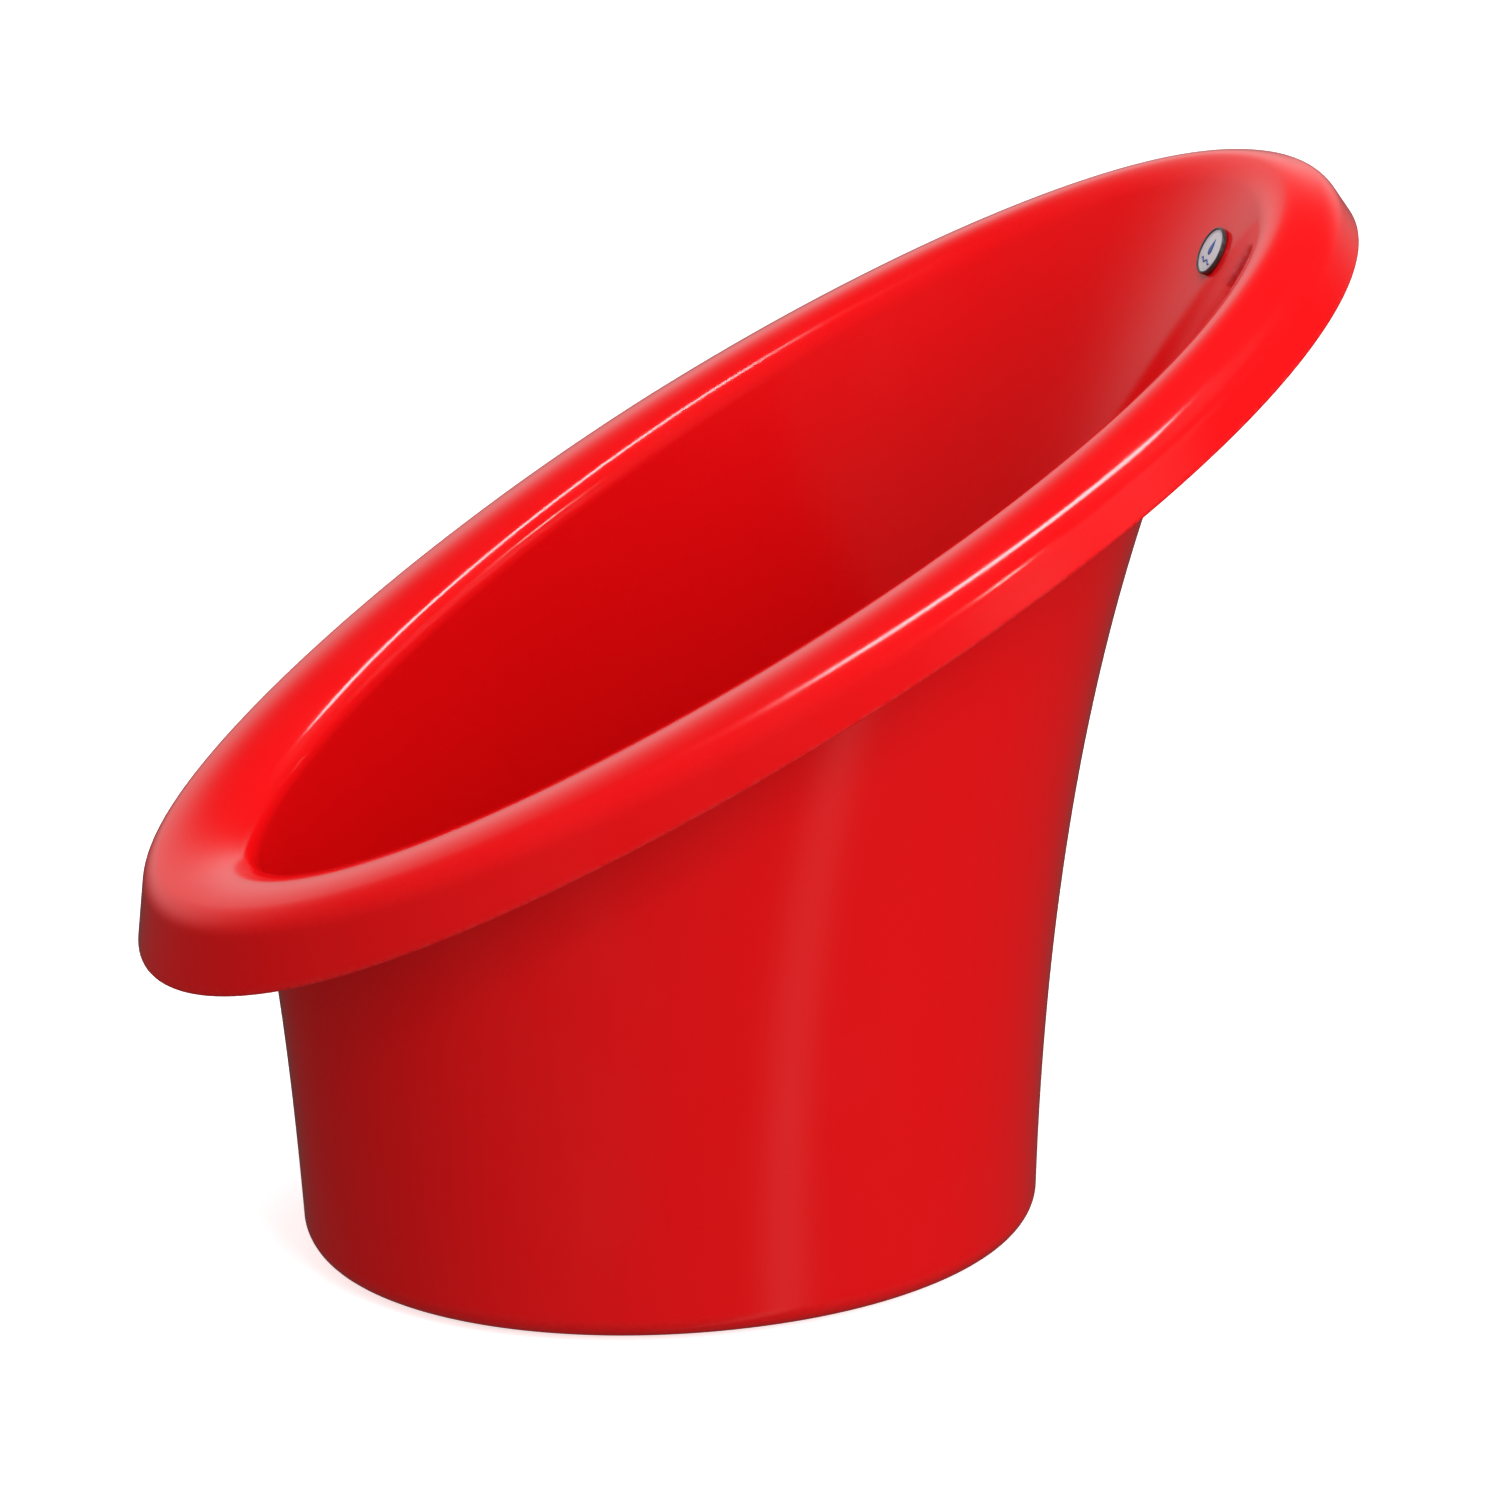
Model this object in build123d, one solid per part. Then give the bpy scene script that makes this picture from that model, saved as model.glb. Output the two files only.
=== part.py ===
from build123d import *
import os
from math import atan, atan2, cos, hypot, pi, radians, sin, sqrt, tan

# Upright baby bathtub: a one-piece moulded tub with a slanted, rolled rim, a floor drain with a
# lift-out plug, four rubber feet under the raised floor and a round medallion inside the high back.
# Millimetres. X runs from the low front end (-X) to the high back (+X), Y across, Z up. The origin
# is on the ground, under the middle of the whole tub's envelope.

# ---------------------------------------------------------------- driving dimensions: tub
SHEET = 3.0                      # wall thickness of the moulded tub
GROUND_GAP = 1.5                 # the skirt's lip stops this far above the ground
FLOOR_RISE = 12.0                # underside of the floor above the ground

BASE_X = -31.1                   # base outline, a superellipse
BASE_HALF_LENGTH = 151.8
BASE_HALF_WIDTH = 121.7
BASE_POWER = 2.03
BASE_ROUND = 11.5                # rounding of the bottom edge
FLOOR_FILLET = 14.0              # between floor and wall, inside
SKIRT_FILLET = 2.0               # between floor and skirt, underneath
LIP_TURN = radians(9)            # the skirt's lip ends this far short of the lowest point

RIM_X = 3.8                      # bend line of the rim, a superellipse that widens to the back
RIM_HALF_LENGTH = 202.5
RIM_HALF_WIDTH = 129.5
RIM_POWER = 1.97
RIM_EGG = 0.07
RIM_HEIGHT = 301.6               # of the bend line at RIM_X, above the skirt's lip
RIM_SLOPE = 0.60                 # first, second and third power of the distance from RIM_X
RIM_BOW = -3.0e-5
RIM_TWIST = 3.9e-7

# mean size, change from front to back, and extra at both ends against the sides
ROLL_WIDTH = (44.4, -5.7, -4.95)
ROLL_DEPTH = (24.7, -8.7, 3.1)
BEND_RADIUS = (15.0, 7.0, 4.0)   # from the wall into the rim's top
SHOULDER_RADIUS = (15.5, 0.0, -5.0)
WALL_TOP = 6.3                   # the wall runs towards this point below the bend line
CROWN_LEAN = radians(20)         # of the top where its crown meets the bend and the shoulder
CROWN_INSIDE = -1.9              # height of the crown's inner tangent over the bend line
CROWN_OUTSIDE = -3.4             # height of its outer tangent over the rim's outer edge
HEM_TOP = (0.3, -12.5)           # point of the hem's line, from the rim's outer edge
HEM_FLARE = 3.2                  # the hem's edge stands out this far from there
TOP_BANK = 0.22                  # share of the rim's local slope that tilts its top
HEM_BANK = 0.06

WALL_LEAN_FRONT = radians(3.4)   # lean of the wall above the base
WALL_LEAN_BACK = radians(1.2)
WALL_KNEE = (0.66, -0.03)        # share of the height where the wall flares: mean, front to back

# ---------------------------------------------------------------- driving dimensions: fittings
DRAIN_X = -100.0
SUMP_RADIUS = 32.0
SUMP_WALL = 3.0
DRAIN_BORE = 20.3                # hole in the sump
SPIGOT_RADIUS = 20.0
SEAT_RADIUS = 14.5               # bore that the plug seals in
DRAIN_FLANGE_RADIUS = 30.0
GASKET = 1.2
WASHER = 1.0
SPIGOT_END = 3.5                 # above the ground
STRAINER_BAR = 2.0
STRAINER_DEPTH = 2.5
NUT_RADIUS = 25.0
NUT_LUGS = 6

PLUG_CAP_RADIUS = 22.0
PLUG_CAP = 3.0
PLUG_DEPTH = 7.5
PLUG_WALL = 3.0
PLUG_CLEARANCE = 0.08            # of the sealing ribs in their seat
LUG_WIDTH = 8.0
LUG_THICK = 5.5
RING_WIRE = 1.3                  # radius
RING_CLEARANCE = 0.08
RING_HALF_WIDTH = 11.0
RING_REACH = 22.0

FOOT_REACH = (88.0, 62.0)        # from the middle of the base
FOOT_STEM = 11.0
FOOT_PAD = 13.0
FOOT_PAD_HEIGHT = 4.0
CUP_WALL = 2.2
CUP_CLEARANCE = 0.3
CUP_DEPTH = 7.0

MEDALLION_RADIUS = 10.0
MEDALLION_THICK = 1.6
MEDALLION_BEZEL = 1.5
MEDALLION_DROP = 24.0            # its centre below the bend line, along the wall
MEDALLION_STAND_OFF = 0.62       # bedded on adhesive, clear of the curved wall

# ---------------------------------------------------------------- fineness of the tub's surface
HALF_STEPS = 24                  # around half the tub
OVERRUN = 2                      # extra steps past the middle plane, so that it stays smooth there
WALL_STEPS = 14

FLOOR_UNDER = FLOOR_RISE - GROUND_GAP      # heights above the skirt's lip
FLOOR_TOP = FLOOR_UNDER + SHEET
BASE = (BASE_X, BASE_HALF_LENGTH, BASE_HALF_WIDTH, BASE_POWER, 0.0)
RIM = (RIM_X, RIM_HALF_LENGTH, RIM_HALF_WIDTH, RIM_POWER, RIM_EGG)


# ---------------------------------------------------------------- lines of the tub
def signed_power(value, power):
    return abs(value) ** power * (1 if value >= 0 else -1)


def outline(line, turn):
    """Point of a superellipse in plan; turn 0 is the back, pi the front."""
    middle, half_length, half_width, power, egg = line
    x = half_length * signed_power(cos(turn), 2 / power)
    y = half_width * signed_power(sin(turn), 2 / power) * (1 + egg * cos(turn))
    return middle + x, y


def outline_normal(line, turn, step=1e-3):
    x0, y0 = outline(line, turn - step)
    x1, y1 = outline(line, turn + step)
    size = hypot(x1 - x0, y1 - y0)
    return (y1 - y0) / size, -(x1 - x0) / size


def around(sizes, turn):
    mean, to_back, to_ends = sizes
    return mean + to_back * cos(turn) + to_ends * (cos(turn) ** 2 - 0.5)


def even(count):
    return [k / count for k in range(count + 1)]


def eased(count):
    """Steps from 0 to 1 that close up at both ends."""
    return [0.5 - 0.5 * cos(pi * k / count) for k in range(count + 1)]


def arc(centre, radius, start, end, count):
    return [(centre[0] + radius * cos(start + (end - start) * t),
             centre[1] + radius * sin(start + (end - start) * t)) for t in even(count)[1:]]


def line(start, end, count):
    return [(start[0] + (end[0] - start[0]) * t,
             start[1] + (end[1] - start[1]) * t) for t in even(count)[1:]]


def curve(start, middle, end, count):
    """Quadratic curve in the section."""
    return [tuple(a * (1 - t) ** 2 + b * (2 * t * (1 - t)) + c * t ** 2
                  for a, b, c in zip(start, middle, end)) for t in even(count)[1:]]


def polar(centre, radius, angle):
    return centre[0] + radius * cos(angle), centre[1] + radius * sin(angle)


def tangent_line(angle, point):
    """A line as the angle of its normal and its reach along that normal."""
    return angle, point[0] * cos(angle) + point[1] * sin(angle)


def inside(first, second, distance):
    """The point that lies a distance inside both lines."""
    (a, p), (b, q) = first, second
    p, q = p - distance, q - distance
    size = sin(b - a)
    return (p * sin(b) - q * sin(a)) / size, (q * cos(a) - p * cos(b)) / size


def tilt(point, angle):
    u, v = point
    return u * cos(angle) - v * sin(angle), u * sin(angle) + v * cos(angle)


class Station:
    """The tub's section at one turn: everything is drawn as (outwards, up) pairs there."""

    def __init__(self, turn):
        self.turn = turn
        self.base = outline(BASE, turn)
        self.base_normal = outline_normal(BASE, turn)
        self.rim = outline(RIM, turn)
        self.rim_normal = outline_normal(RIM, turn)
        x = self.rim[0] - RIM_X
        self.height = RIM_HEIGHT + RIM_SLOPE * x + RIM_BOW * x ** 2 + RIM_TWIST * x ** 3
        slope = RIM_SLOPE + 2 * RIM_BOW * x + 3 * RIM_TWIST * x ** 2
        climb = atan(slope * self.rim_normal[0])
        self.top_bank = TOP_BANK * climb
        self.hem_bank = HEM_BANK * climb
        self.set_roll()

    def at_base(self, point):
        (x, y), (nx, ny), (u, v) = self.base, self.base_normal, point
        return Vector(x + u * nx, y + u * ny, GROUND_GAP + v)

    def at_rim(self, point):
        (x, y), (nx, ny), (u, v) = self.rim, self.rim_normal, point
        return Vector(x + u * nx, y + u * ny, GROUND_GAP + self.height + v)

    def on_top(self, point):
        return self.at_rim(tilt(point, self.top_bank))

    def set_roll(self):
        """The rolled rim's tangent lines and the middles of its bend and shoulder."""
        width = around(ROLL_WIDTH, self.turn)
        nx, ny = self.rim_normal
        top = self.on_top((0, -WALL_TOP))
        run = top - self.wall_middle(SHEET, FLOOR_TOP + FLOOR_FILLET)
        self.wall_turn = pi - atan2(run.X * nx + run.Y * ny, run.Z) - self.top_bank
        self.hem_start = (width + HEM_TOP[0], HEM_TOP[1])
        self.hem_run = (HEM_FLARE, -around(ROLL_DEPTH, self.turn) - HEM_TOP[1])
        self.hem_turn = atan2(HEM_FLARE, -self.hem_run[1]) + self.hem_bank - self.top_bank
        self.bend_radius = around(BEND_RADIUS, self.turn)
        self.shoulder_radius = around(SHOULDER_RADIUS, self.turn)
        self.rise = tangent_line(pi / 2 + CROWN_LEAN, (0, CROWN_INSIDE))
        self.fall = tangent_line(pi / 2 - CROWN_LEAN, (width, CROWN_OUTSIDE))
        wall = tangent_line(self.wall_turn, (0, -WALL_TOP))
        hem = tangent_line(self.hem_turn, self.hem_start)
        self.bend = inside(self.rise, wall, self.bend_radius)
        self.shoulder = inside(self.fall, hem, self.shoulder_radius)

    def skirt(self):
        """From the floor's underside down to the lip and up to the foot of the outer wall."""
        centre = (-BASE_ROUND, BASE_ROUND)
        inner = BASE_ROUND - SHEET
        down = FLOOR_UNDER - SKIRT_FILLET - BASE_ROUND
        out = sqrt((inner - SKIRT_FILLET) ** 2 - down ** 2)
        fillet = (centre[0] + out, centre[1] + down)
        swing = atan2(down, out)
        lip_turn = LIP_TURN - pi / 2
        middle = BASE_ROUND - SHEET / 2
        lip = (centre[0] + middle * cos(lip_turn), centre[1] + middle * sin(lip_turn))
        path = [(fillet[0] - 4, FLOOR_UNDER)]
        path += line(path[0], (fillet[0], FLOOR_UNDER), 2)
        path += arc(fillet, SKIRT_FILLET, pi / 2, swing, 3)
        path += arc(centre, inner, swing, lip_turn, 4)
        path += arc(lip, SHEET / 2, lip_turn + pi, lip_turn + 2 * pi, 4)
        path += arc(centre, BASE_ROUND, lip_turn, 0, 7)
        return [self.at_base(point) for point in path]

    def wall_middle(self, inset, foot):
        """Middle control point of the wall's curve."""
        start = self.at_base((-inset, foot))
        top = self.on_top((SHEET - inset, -WALL_TOP))
        share = WALL_KNEE[0] + WALL_KNEE[1] * cos(self.turn)
        knee = (top.Z - start.Z) * share
        to_back = (1 + cos(self.turn)) / 2
        lean = WALL_LEAN_FRONT * (1 - to_back) + WALL_LEAN_BACK * to_back
        return self.at_base((tan(lean) * knee - inset, foot + knee))

    def wall(self, inset, foot, steps):
        """The wall as a quadratic curve: inset 0 is its outer face, SHEET its inner face."""
        start = self.at_base((-inset, foot))
        middle = self.wall_middle(inset, foot)
        radius = self.bend_radius - SHEET + inset
        end = self.on_top(polar(self.bend, radius, self.wall_turn))
        return [start * (1 - t) ** 2 + middle * (2 * t * (1 - t)) + end * t ** 2 for t in steps]

    def top(self, inset, count):
        """Rim from the bend to the end of the shoulder, inset below its upper face."""
        bend_radius = self.bend_radius - inset
        shoulder_radius = self.shoulder_radius - inset
        path = [polar(self.bend, bend_radius, self.wall_turn)]
        path += arc(self.bend, bend_radius, self.wall_turn, self.rise[0], count)
        crown_end = polar(self.shoulder, shoulder_radius, self.fall[0])
        path += curve(path[-1], inside(self.rise, self.fall, inset), crown_end, 6)
        path += arc(self.shoulder, shoulder_radius, self.fall[0], self.hem_turn, count)
        return [self.on_top(point) for point in path]

    def hem(self):
        """From under the shoulder down the hem's inner face, round its edge and up again."""
        start = tilt(polar(self.shoulder, self.shoulder_radius, self.hem_turn), self.top_bank)
        corner = tilt(self.hem_start, self.top_bank)
        run = tilt(self.hem_run, self.hem_bank)
        length = hypot(*run)
        out = (-run[1] / length, run[0] / length)
        share = 1 - SHEET / 2 / length
        end = (corner[0] + share * run[0], corner[1] + share * run[1])
        inner = [(p[0] - SHEET * out[0], p[1] - SHEET * out[1]) for p in (start, end)]
        middle = ((end[0] + inner[1][0]) / 2, (end[1] + inner[1][1]) / 2)
        facing = atan2(-out[1], -out[0])
        path = line(inner[0], inner[1], 4)
        path += arc(middle, SHEET / 2, facing, facing + pi, 5)
        path += line(end, start, 4)
        return [self.at_rim(point) for point in path]

    def floor_fillet(self):
        centre = (-SHEET - FLOOR_FILLET, FLOOR_TOP + FLOOR_FILLET)
        path = arc(centre, FLOOR_FILLET, 0, -pi / 2, 6)
        path += line(path[-1], (path[-1][0] - 6, FLOOR_TOP), 2)
        return [self.at_base(point) for point in path]

    def section(self):
        """The whole line, from the floor's underside over the rim to the floor's upper face."""
        rising = eased(WALL_STEPS)
        points = self.skirt()
        points += self.wall(0, BASE_ROUND, rising[1:-1])
        points += self.top(SHEET, 5)
        points += self.hem()
        points += reversed(self.top(0, 6)[:-1])
        points += reversed(self.wall(SHEET, FLOOR_TOP + FLOOR_FILLET, rising[:-1]))
        points += self.floor_fillet()
        return points


# ---------------------------------------------------------------- tub
def half_skin():
    """The tub's whole surface at +Y, from the floor's underside to its upper face."""
    turns = [pi * k / HALF_STEPS for k in range(-OVERRUN, HALF_STEPS + OVERRUN + 1)]
    sections = [Station(turn).section() for turn in turns]
    rows = [list(row) for row in zip(*sections)]
    skin = Face.make_surface_from_array_of_points(rows, min_deg=3, max_deg=8)
    half = skin.split(Plane.XZ, keep=Keep.BOTTOM)
    if half.center().Y < 0:
        half = skin.split(Plane.XZ, keep=Keep.TOP)
    return half


def flat_face(edges):
    return Face(Wire(edges))


def highest(edge):
    return max((edge @ t).Z for t in (0, 0.5, 1))


def close_line(edge):
    return Edge.make_line(edge.position_at(1), edge.position_at(0))


def shell_blank():
    skin = half_skin()
    under, floor, front, back = skin.edges().sort_by(highest)
    under_line = close_line(under)
    floor_line = close_line(floor)
    faces = [skin, flat_face([under, under_line]), flat_face([floor, floor_line]),
             flat_face([front, back, under_line, floor_line])]
    half = Solid(Shell(faces))
    if half.volume < 0:
        half = -half
    return half.fuse(half.mirror(Plane.XZ)).clean()


def disc(radius, low, high, x=0.0, y=0.0):
    """Upright cylinder between two heights."""
    return Pos(x, y, (low + high) / 2) * Cylinder(radius, high - low)


def ring(outer, inner, low, high, x=0.0, y=0.0):
    return disc(outer, low, high, x, y) - disc(inner, low - 1, high + 1, x, y)


def foot_places():
    """Node name and middle of each foot."""
    for end, side_x in (("front", -1), ("back", 1)):
        for side, side_y in (("left", 1), ("right", -1)):
            yield f"foot_{end}_{side}", BASE_X + side_x * FOOT_REACH[0], side_y * FOOT_REACH[1]


def tub_shell():
    shell = shell_blank()
    floor_top = FLOOR_RISE + SHEET
    sump_top = floor_top - SHEET
    shell += disc(SUMP_RADIUS + SUMP_WALL, sump_top - SHEET, floor_top - SHEET / 2, DRAIN_X)
    shell -= disc(SUMP_RADIUS, sump_top, floor_top + 1, DRAIN_X)
    shell -= disc(DRAIN_BORE, 0, floor_top, DRAIN_X)
    inner = FOOT_STEM + CUP_CLEARANCE
    for _, x, y in foot_places():
        shell += ring(inner + CUP_WALL, inner, FLOOR_RISE - CUP_DEPTH, FLOOR_RISE, x, y)
    return shell


# ---------------------------------------------------------------- drain
SUMP_TOP = FLOOR_RISE                      # heights above the ground
SUMP_UNDER = FLOOR_RISE - SHEET
FLANGE_UNDER = SUMP_TOP + GASKET
FLANGE_TOP = FLOOR_RISE + SHEET
NUT_TOP = SUMP_UNDER - WASHER


def drain_gasket():
    return ring(DRAIN_FLANGE_RADIUS, SPIGOT_RADIUS + 0.5, SUMP_TOP, FLANGE_UNDER, DRAIN_X)


def drain_flange():
    """Flange and threaded spigot with the plug's seat, and a strainer cross at its foot."""
    body = disc(DRAIN_FLANGE_RADIUS, FLANGE_UNDER, FLANGE_TOP, DRAIN_X)
    body = chamfer(body.edges().group_by(Axis.Z)[-1], 0.6)
    body += disc(SPIGOT_RADIUS, SPIGOT_END, FLANGE_UNDER, DRAIN_X)
    body -= disc(SEAT_RADIUS, 0, FLANGE_TOP + 1, DRAIN_X)
    for angle in (45, 135):
        bar = Box(2 * SEAT_RADIUS + 2, STRAINER_BAR, STRAINER_DEPTH)
        body += Pos(DRAIN_X, 0, SPIGOT_END + STRAINER_DEPTH / 2) * Rot(0, 0, angle) * bar
    middle = SEAT_RADIUS / 2
    body += ring(middle + STRAINER_BAR / 2, middle - STRAINER_BAR / 2,
                 SPIGOT_END, SPIGOT_END + STRAINER_DEPTH, DRAIN_X)
    return body


def drain_washer():
    return ring(NUT_RADIUS + 2, SPIGOT_RADIUS + 0.4, NUT_TOP, SUMP_UNDER, DRAIN_X)


def drain_nut():
    """Ring nut with grip lugs around it."""
    nut = disc(NUT_RADIUS, SPIGOT_END + 0.5, NUT_TOP, DRAIN_X)
    for k in range(NUT_LUGS):
        angle = 2 * pi * k / NUT_LUGS
        x = DRAIN_X + NUT_RADIUS * cos(angle)
        nut += disc(3.0, SPIGOT_END + 0.5, NUT_TOP, x, NUT_RADIUS * sin(angle))
    return nut - disc(SPIGOT_RADIUS + 0.05, 0, FLOOR_RISE, DRAIN_X)


# ---------------------------------------------------------------- plug
PLUG_TOP = FLANGE_TOP + PLUG_CAP
RING_PIVOT = PLUG_TOP + RING_WIRE + 0.2    # height of the ring's axle
LUG_HEIGHT = 2 * RING_WIRE + 3.0


def drain_plug():
    """Soft stopper: domed cap, ribbed hollow stem and a lug that carries the pull ring."""
    stem = SEAT_RADIUS - 0.8
    rib = SEAT_RADIUS - PLUG_CLEARANCE
    cap = disc(PLUG_CAP_RADIUS, FLANGE_TOP, PLUG_TOP, DRAIN_X)
    cap = fillet(cap.edges().group_by(Axis.Z)[-1], PLUG_CAP * 0.6)
    plug = cap + disc(stem, FLANGE_TOP - PLUG_DEPTH, FLANGE_TOP, DRAIN_X)
    for low in (1.5, 4.0):
        plug += disc(rib, FLANGE_TOP - low - 1, FLANGE_TOP - low, DRAIN_X)
    plug -= disc(stem - PLUG_WALL, FLANGE_TOP - PLUG_DEPTH - 1, FLANGE_TOP - 0.5, DRAIN_X)
    lug = Pos(DRAIN_X, 0, PLUG_TOP + LUG_HEIGHT / 2) * Box(LUG_THICK, LUG_WIDTH, LUG_HEIGHT)
    lug = fillet(lug.edges().filter_by(Axis.Y).group_by(Axis.Z)[-1], 2.2)
    hole = Cylinder(RING_WIRE + RING_CLEARANCE, LUG_WIDTH + 2)
    return plug + lug - Pos(DRAIN_X, 0, RING_PIVOT) * Rot(90, 0, 0) * hole


def plug_ring():
    """Wire bail: an axle through the lug and a round loop that folds down to +X."""
    corner = RING_WIRE * 2
    half = RING_HALF_WIDTH
    reach = RING_REACH - half
    with BuildLine(Plane.XY.offset(RING_PIVOT)) as path:
        FilletPolyline((DRAIN_X + reach, half), (DRAIN_X, half), (DRAIN_X, -half),
                       (DRAIN_X + reach, -half), radius=corner)
        ThreePointArc((DRAIN_X + reach, -half), (DRAIN_X + RING_REACH, 0), (DRAIN_X + reach, half))
    start = Plane(origin=(DRAIN_X, 0, RING_PIVOT), z_dir=(0, 1, 0))
    return sweep(start * Circle(RING_WIRE), path=path.wire())


# ---------------------------------------------------------------- feet and medallion
def foot(x, y):
    """Rubber foot: a stem that sits in its cup under the floor, and a wider pad."""
    stem = disc(FOOT_STEM, FOOT_PAD_HEIGHT, FLOOR_RISE, x, y)
    pad = disc(FOOT_PAD, 0, FOOT_PAD_HEIGHT, x, y)
    pad = chamfer(pad.edges().group_by(Axis.Z)[0], 0.6)
    body = stem + pad
    return body - ring(FOOT_PAD - 4, FOOT_PAD - 5.5, -1, 0.8, x, y)


def medallion():
    """Domed round with a raised bezel, flat on the inside of the back."""
    station = Station(0)
    wall = station.wall(SHEET, FLOOR_TOP + FLOOR_FILLET, [1 - k / 100 for k in range(20)])
    run = 0.0
    for upper, lower in zip(wall, wall[1:]):
        run += (upper - lower).length
        if run >= MEDALLION_DROP:
            break
    along = (upper - lower).normalized()
    inwards = Vector(-along.Z, 0, along.X)
    plane = Plane(origin=lower, x_dir=(0, 1, 0), z_dir=inwards)
    base = Pos(0, 0, MEDALLION_THICK / 2) * Cylinder(MEDALLION_RADIUS, MEDALLION_THICK)
    base = fillet(base.edges().group_by(Axis.Z)[-1], 0.5)
    face = MEDALLION_RADIUS - MEDALLION_BEZEL
    recess = Pos(0, 0, MEDALLION_THICK) * Cylinder(face, 0.6)
    return plane * Pos(0, 0, MEDALLION_STAND_OFF) * (base - recess)


# ---------------------------------------------------------------- files
def parts():
    yield "tub_shell", tub_shell()
    yield "medallion", medallion()
    yield "drain_flange", drain_flange()
    yield "drain_gasket", drain_gasket()
    yield "drain_washer", drain_washer()
    yield "drain_nut", drain_nut()
    yield "drain_plug", drain_plug()
    yield "plug_ring", plug_ring()
    for name, x, y in foot_places():
        yield name, foot(x, y)


if __name__ == "__main__":
    os.makedirs("parts", exist_ok=True)
    for name, shape in parts():
        solids = shape.solids()
        box = shape.bounding_box()
        print(f"{name}: {len(solids)} solid, {sum(s.volume for s in solids):.0f} mm3, "
              f"x {box.min.X:.2f}..{box.max.X:.2f}, y {box.min.Y:.2f}..{box.max.Y:.2f}, "
              f"z {box.min.Z:.2f}..{box.max.Z:.2f}, valid {shape.is_valid}")
        export_step(shape, f"parts/{name}.step")
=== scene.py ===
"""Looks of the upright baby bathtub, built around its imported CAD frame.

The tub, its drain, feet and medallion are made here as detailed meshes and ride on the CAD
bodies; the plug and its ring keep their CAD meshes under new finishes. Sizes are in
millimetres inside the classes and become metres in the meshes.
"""
import logging
from dataclasses import dataclass, field
from enum import Enum
from math import cos, pi, radians, sin, tau
from typing import Callable, Sequence

import bmesh
import bpy
from mathutils import Matrix, Vector


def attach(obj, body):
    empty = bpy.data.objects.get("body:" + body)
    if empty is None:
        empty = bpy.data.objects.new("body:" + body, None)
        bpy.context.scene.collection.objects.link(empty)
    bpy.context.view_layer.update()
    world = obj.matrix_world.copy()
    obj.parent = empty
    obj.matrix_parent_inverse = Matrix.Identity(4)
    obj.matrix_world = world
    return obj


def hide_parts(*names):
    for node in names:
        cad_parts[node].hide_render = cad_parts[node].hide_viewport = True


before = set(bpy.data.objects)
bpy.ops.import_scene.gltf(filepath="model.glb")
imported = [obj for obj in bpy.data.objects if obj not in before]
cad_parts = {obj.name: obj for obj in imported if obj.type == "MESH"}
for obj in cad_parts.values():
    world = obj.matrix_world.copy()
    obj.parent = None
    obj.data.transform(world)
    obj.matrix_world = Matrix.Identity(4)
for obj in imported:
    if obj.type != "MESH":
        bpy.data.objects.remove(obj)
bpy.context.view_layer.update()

MM = 0.001
SMOOTH_LIMIT = radians(38)
WELD = 0.004
LOG = logging.getLogger("bathtub")

Pair = tuple["Field", "Field"]


class Body(Enum):
    """The CAD bodies that pieces ride on."""

    TUB = "tub"
    PLUG = "plug"
    RING = "ring"


# ------------------------------------------------------------------------------ node arithmetic
@dataclass(frozen=True)
class Field:
    """A number that varies over a Geometry Nodes mesh and takes part in ordinary arithmetic."""

    maker: "ShapeTree"
    value: "bpy.types.NodeSocket | float"

    def _with(self, operation: str, *others: "Field | float") -> "Field":
        """Apply a Math node to this number and the others."""
        return self.maker.math(operation, self, *others)

    def __add__(self, other: "Field | float") -> "Field":
        """Sum."""
        return self._with("ADD", other)

    def __radd__(self, other: float) -> "Field":
        """Sum with a plain number first."""
        return self._with("ADD", other)

    def __sub__(self, other: "Field | float") -> "Field":
        """Difference."""
        return self._with("SUBTRACT", other)

    def __rsub__(self, other: float) -> "Field":
        """Difference from a plain number."""
        return self.maker.math("SUBTRACT", other, self)

    def __mul__(self, other: "Field | float") -> "Field":
        """Product."""
        return self._with("MULTIPLY", other)

    def __rmul__(self, other: float) -> "Field":
        """Product with a plain number first."""
        return self._with("MULTIPLY", other)

    def __truediv__(self, other: "Field | float") -> "Field":
        """Quotient."""
        return self._with("DIVIDE", other)

    def __neg__(self) -> "Field":
        """The same number with its sign turned."""
        return self._with("MULTIPLY", -1.0)

    def cos(self) -> "Field":
        """Cosine of an angle in radians."""
        return self._with("COSINE")

    def sin(self) -> "Field":
        """Sine of an angle in radians."""
        return self._with("SINE")

    def tan(self) -> "Field":
        """Tangent of an angle in radians."""
        return self._with("TANGENT")

    def arctan(self) -> "Field":
        """Angle in radians whose tangent this is."""
        return self._with("ARCTANGENT")

    def root(self) -> "Field":
        """Square root."""
        return self._with("SQRT")

    def signed_power(self, power: float) -> "Field":
        """Power of the size, with the sign kept."""
        return self._with("ABSOLUTE")._with("POWER", power) * self._with("SIGN")


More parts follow.
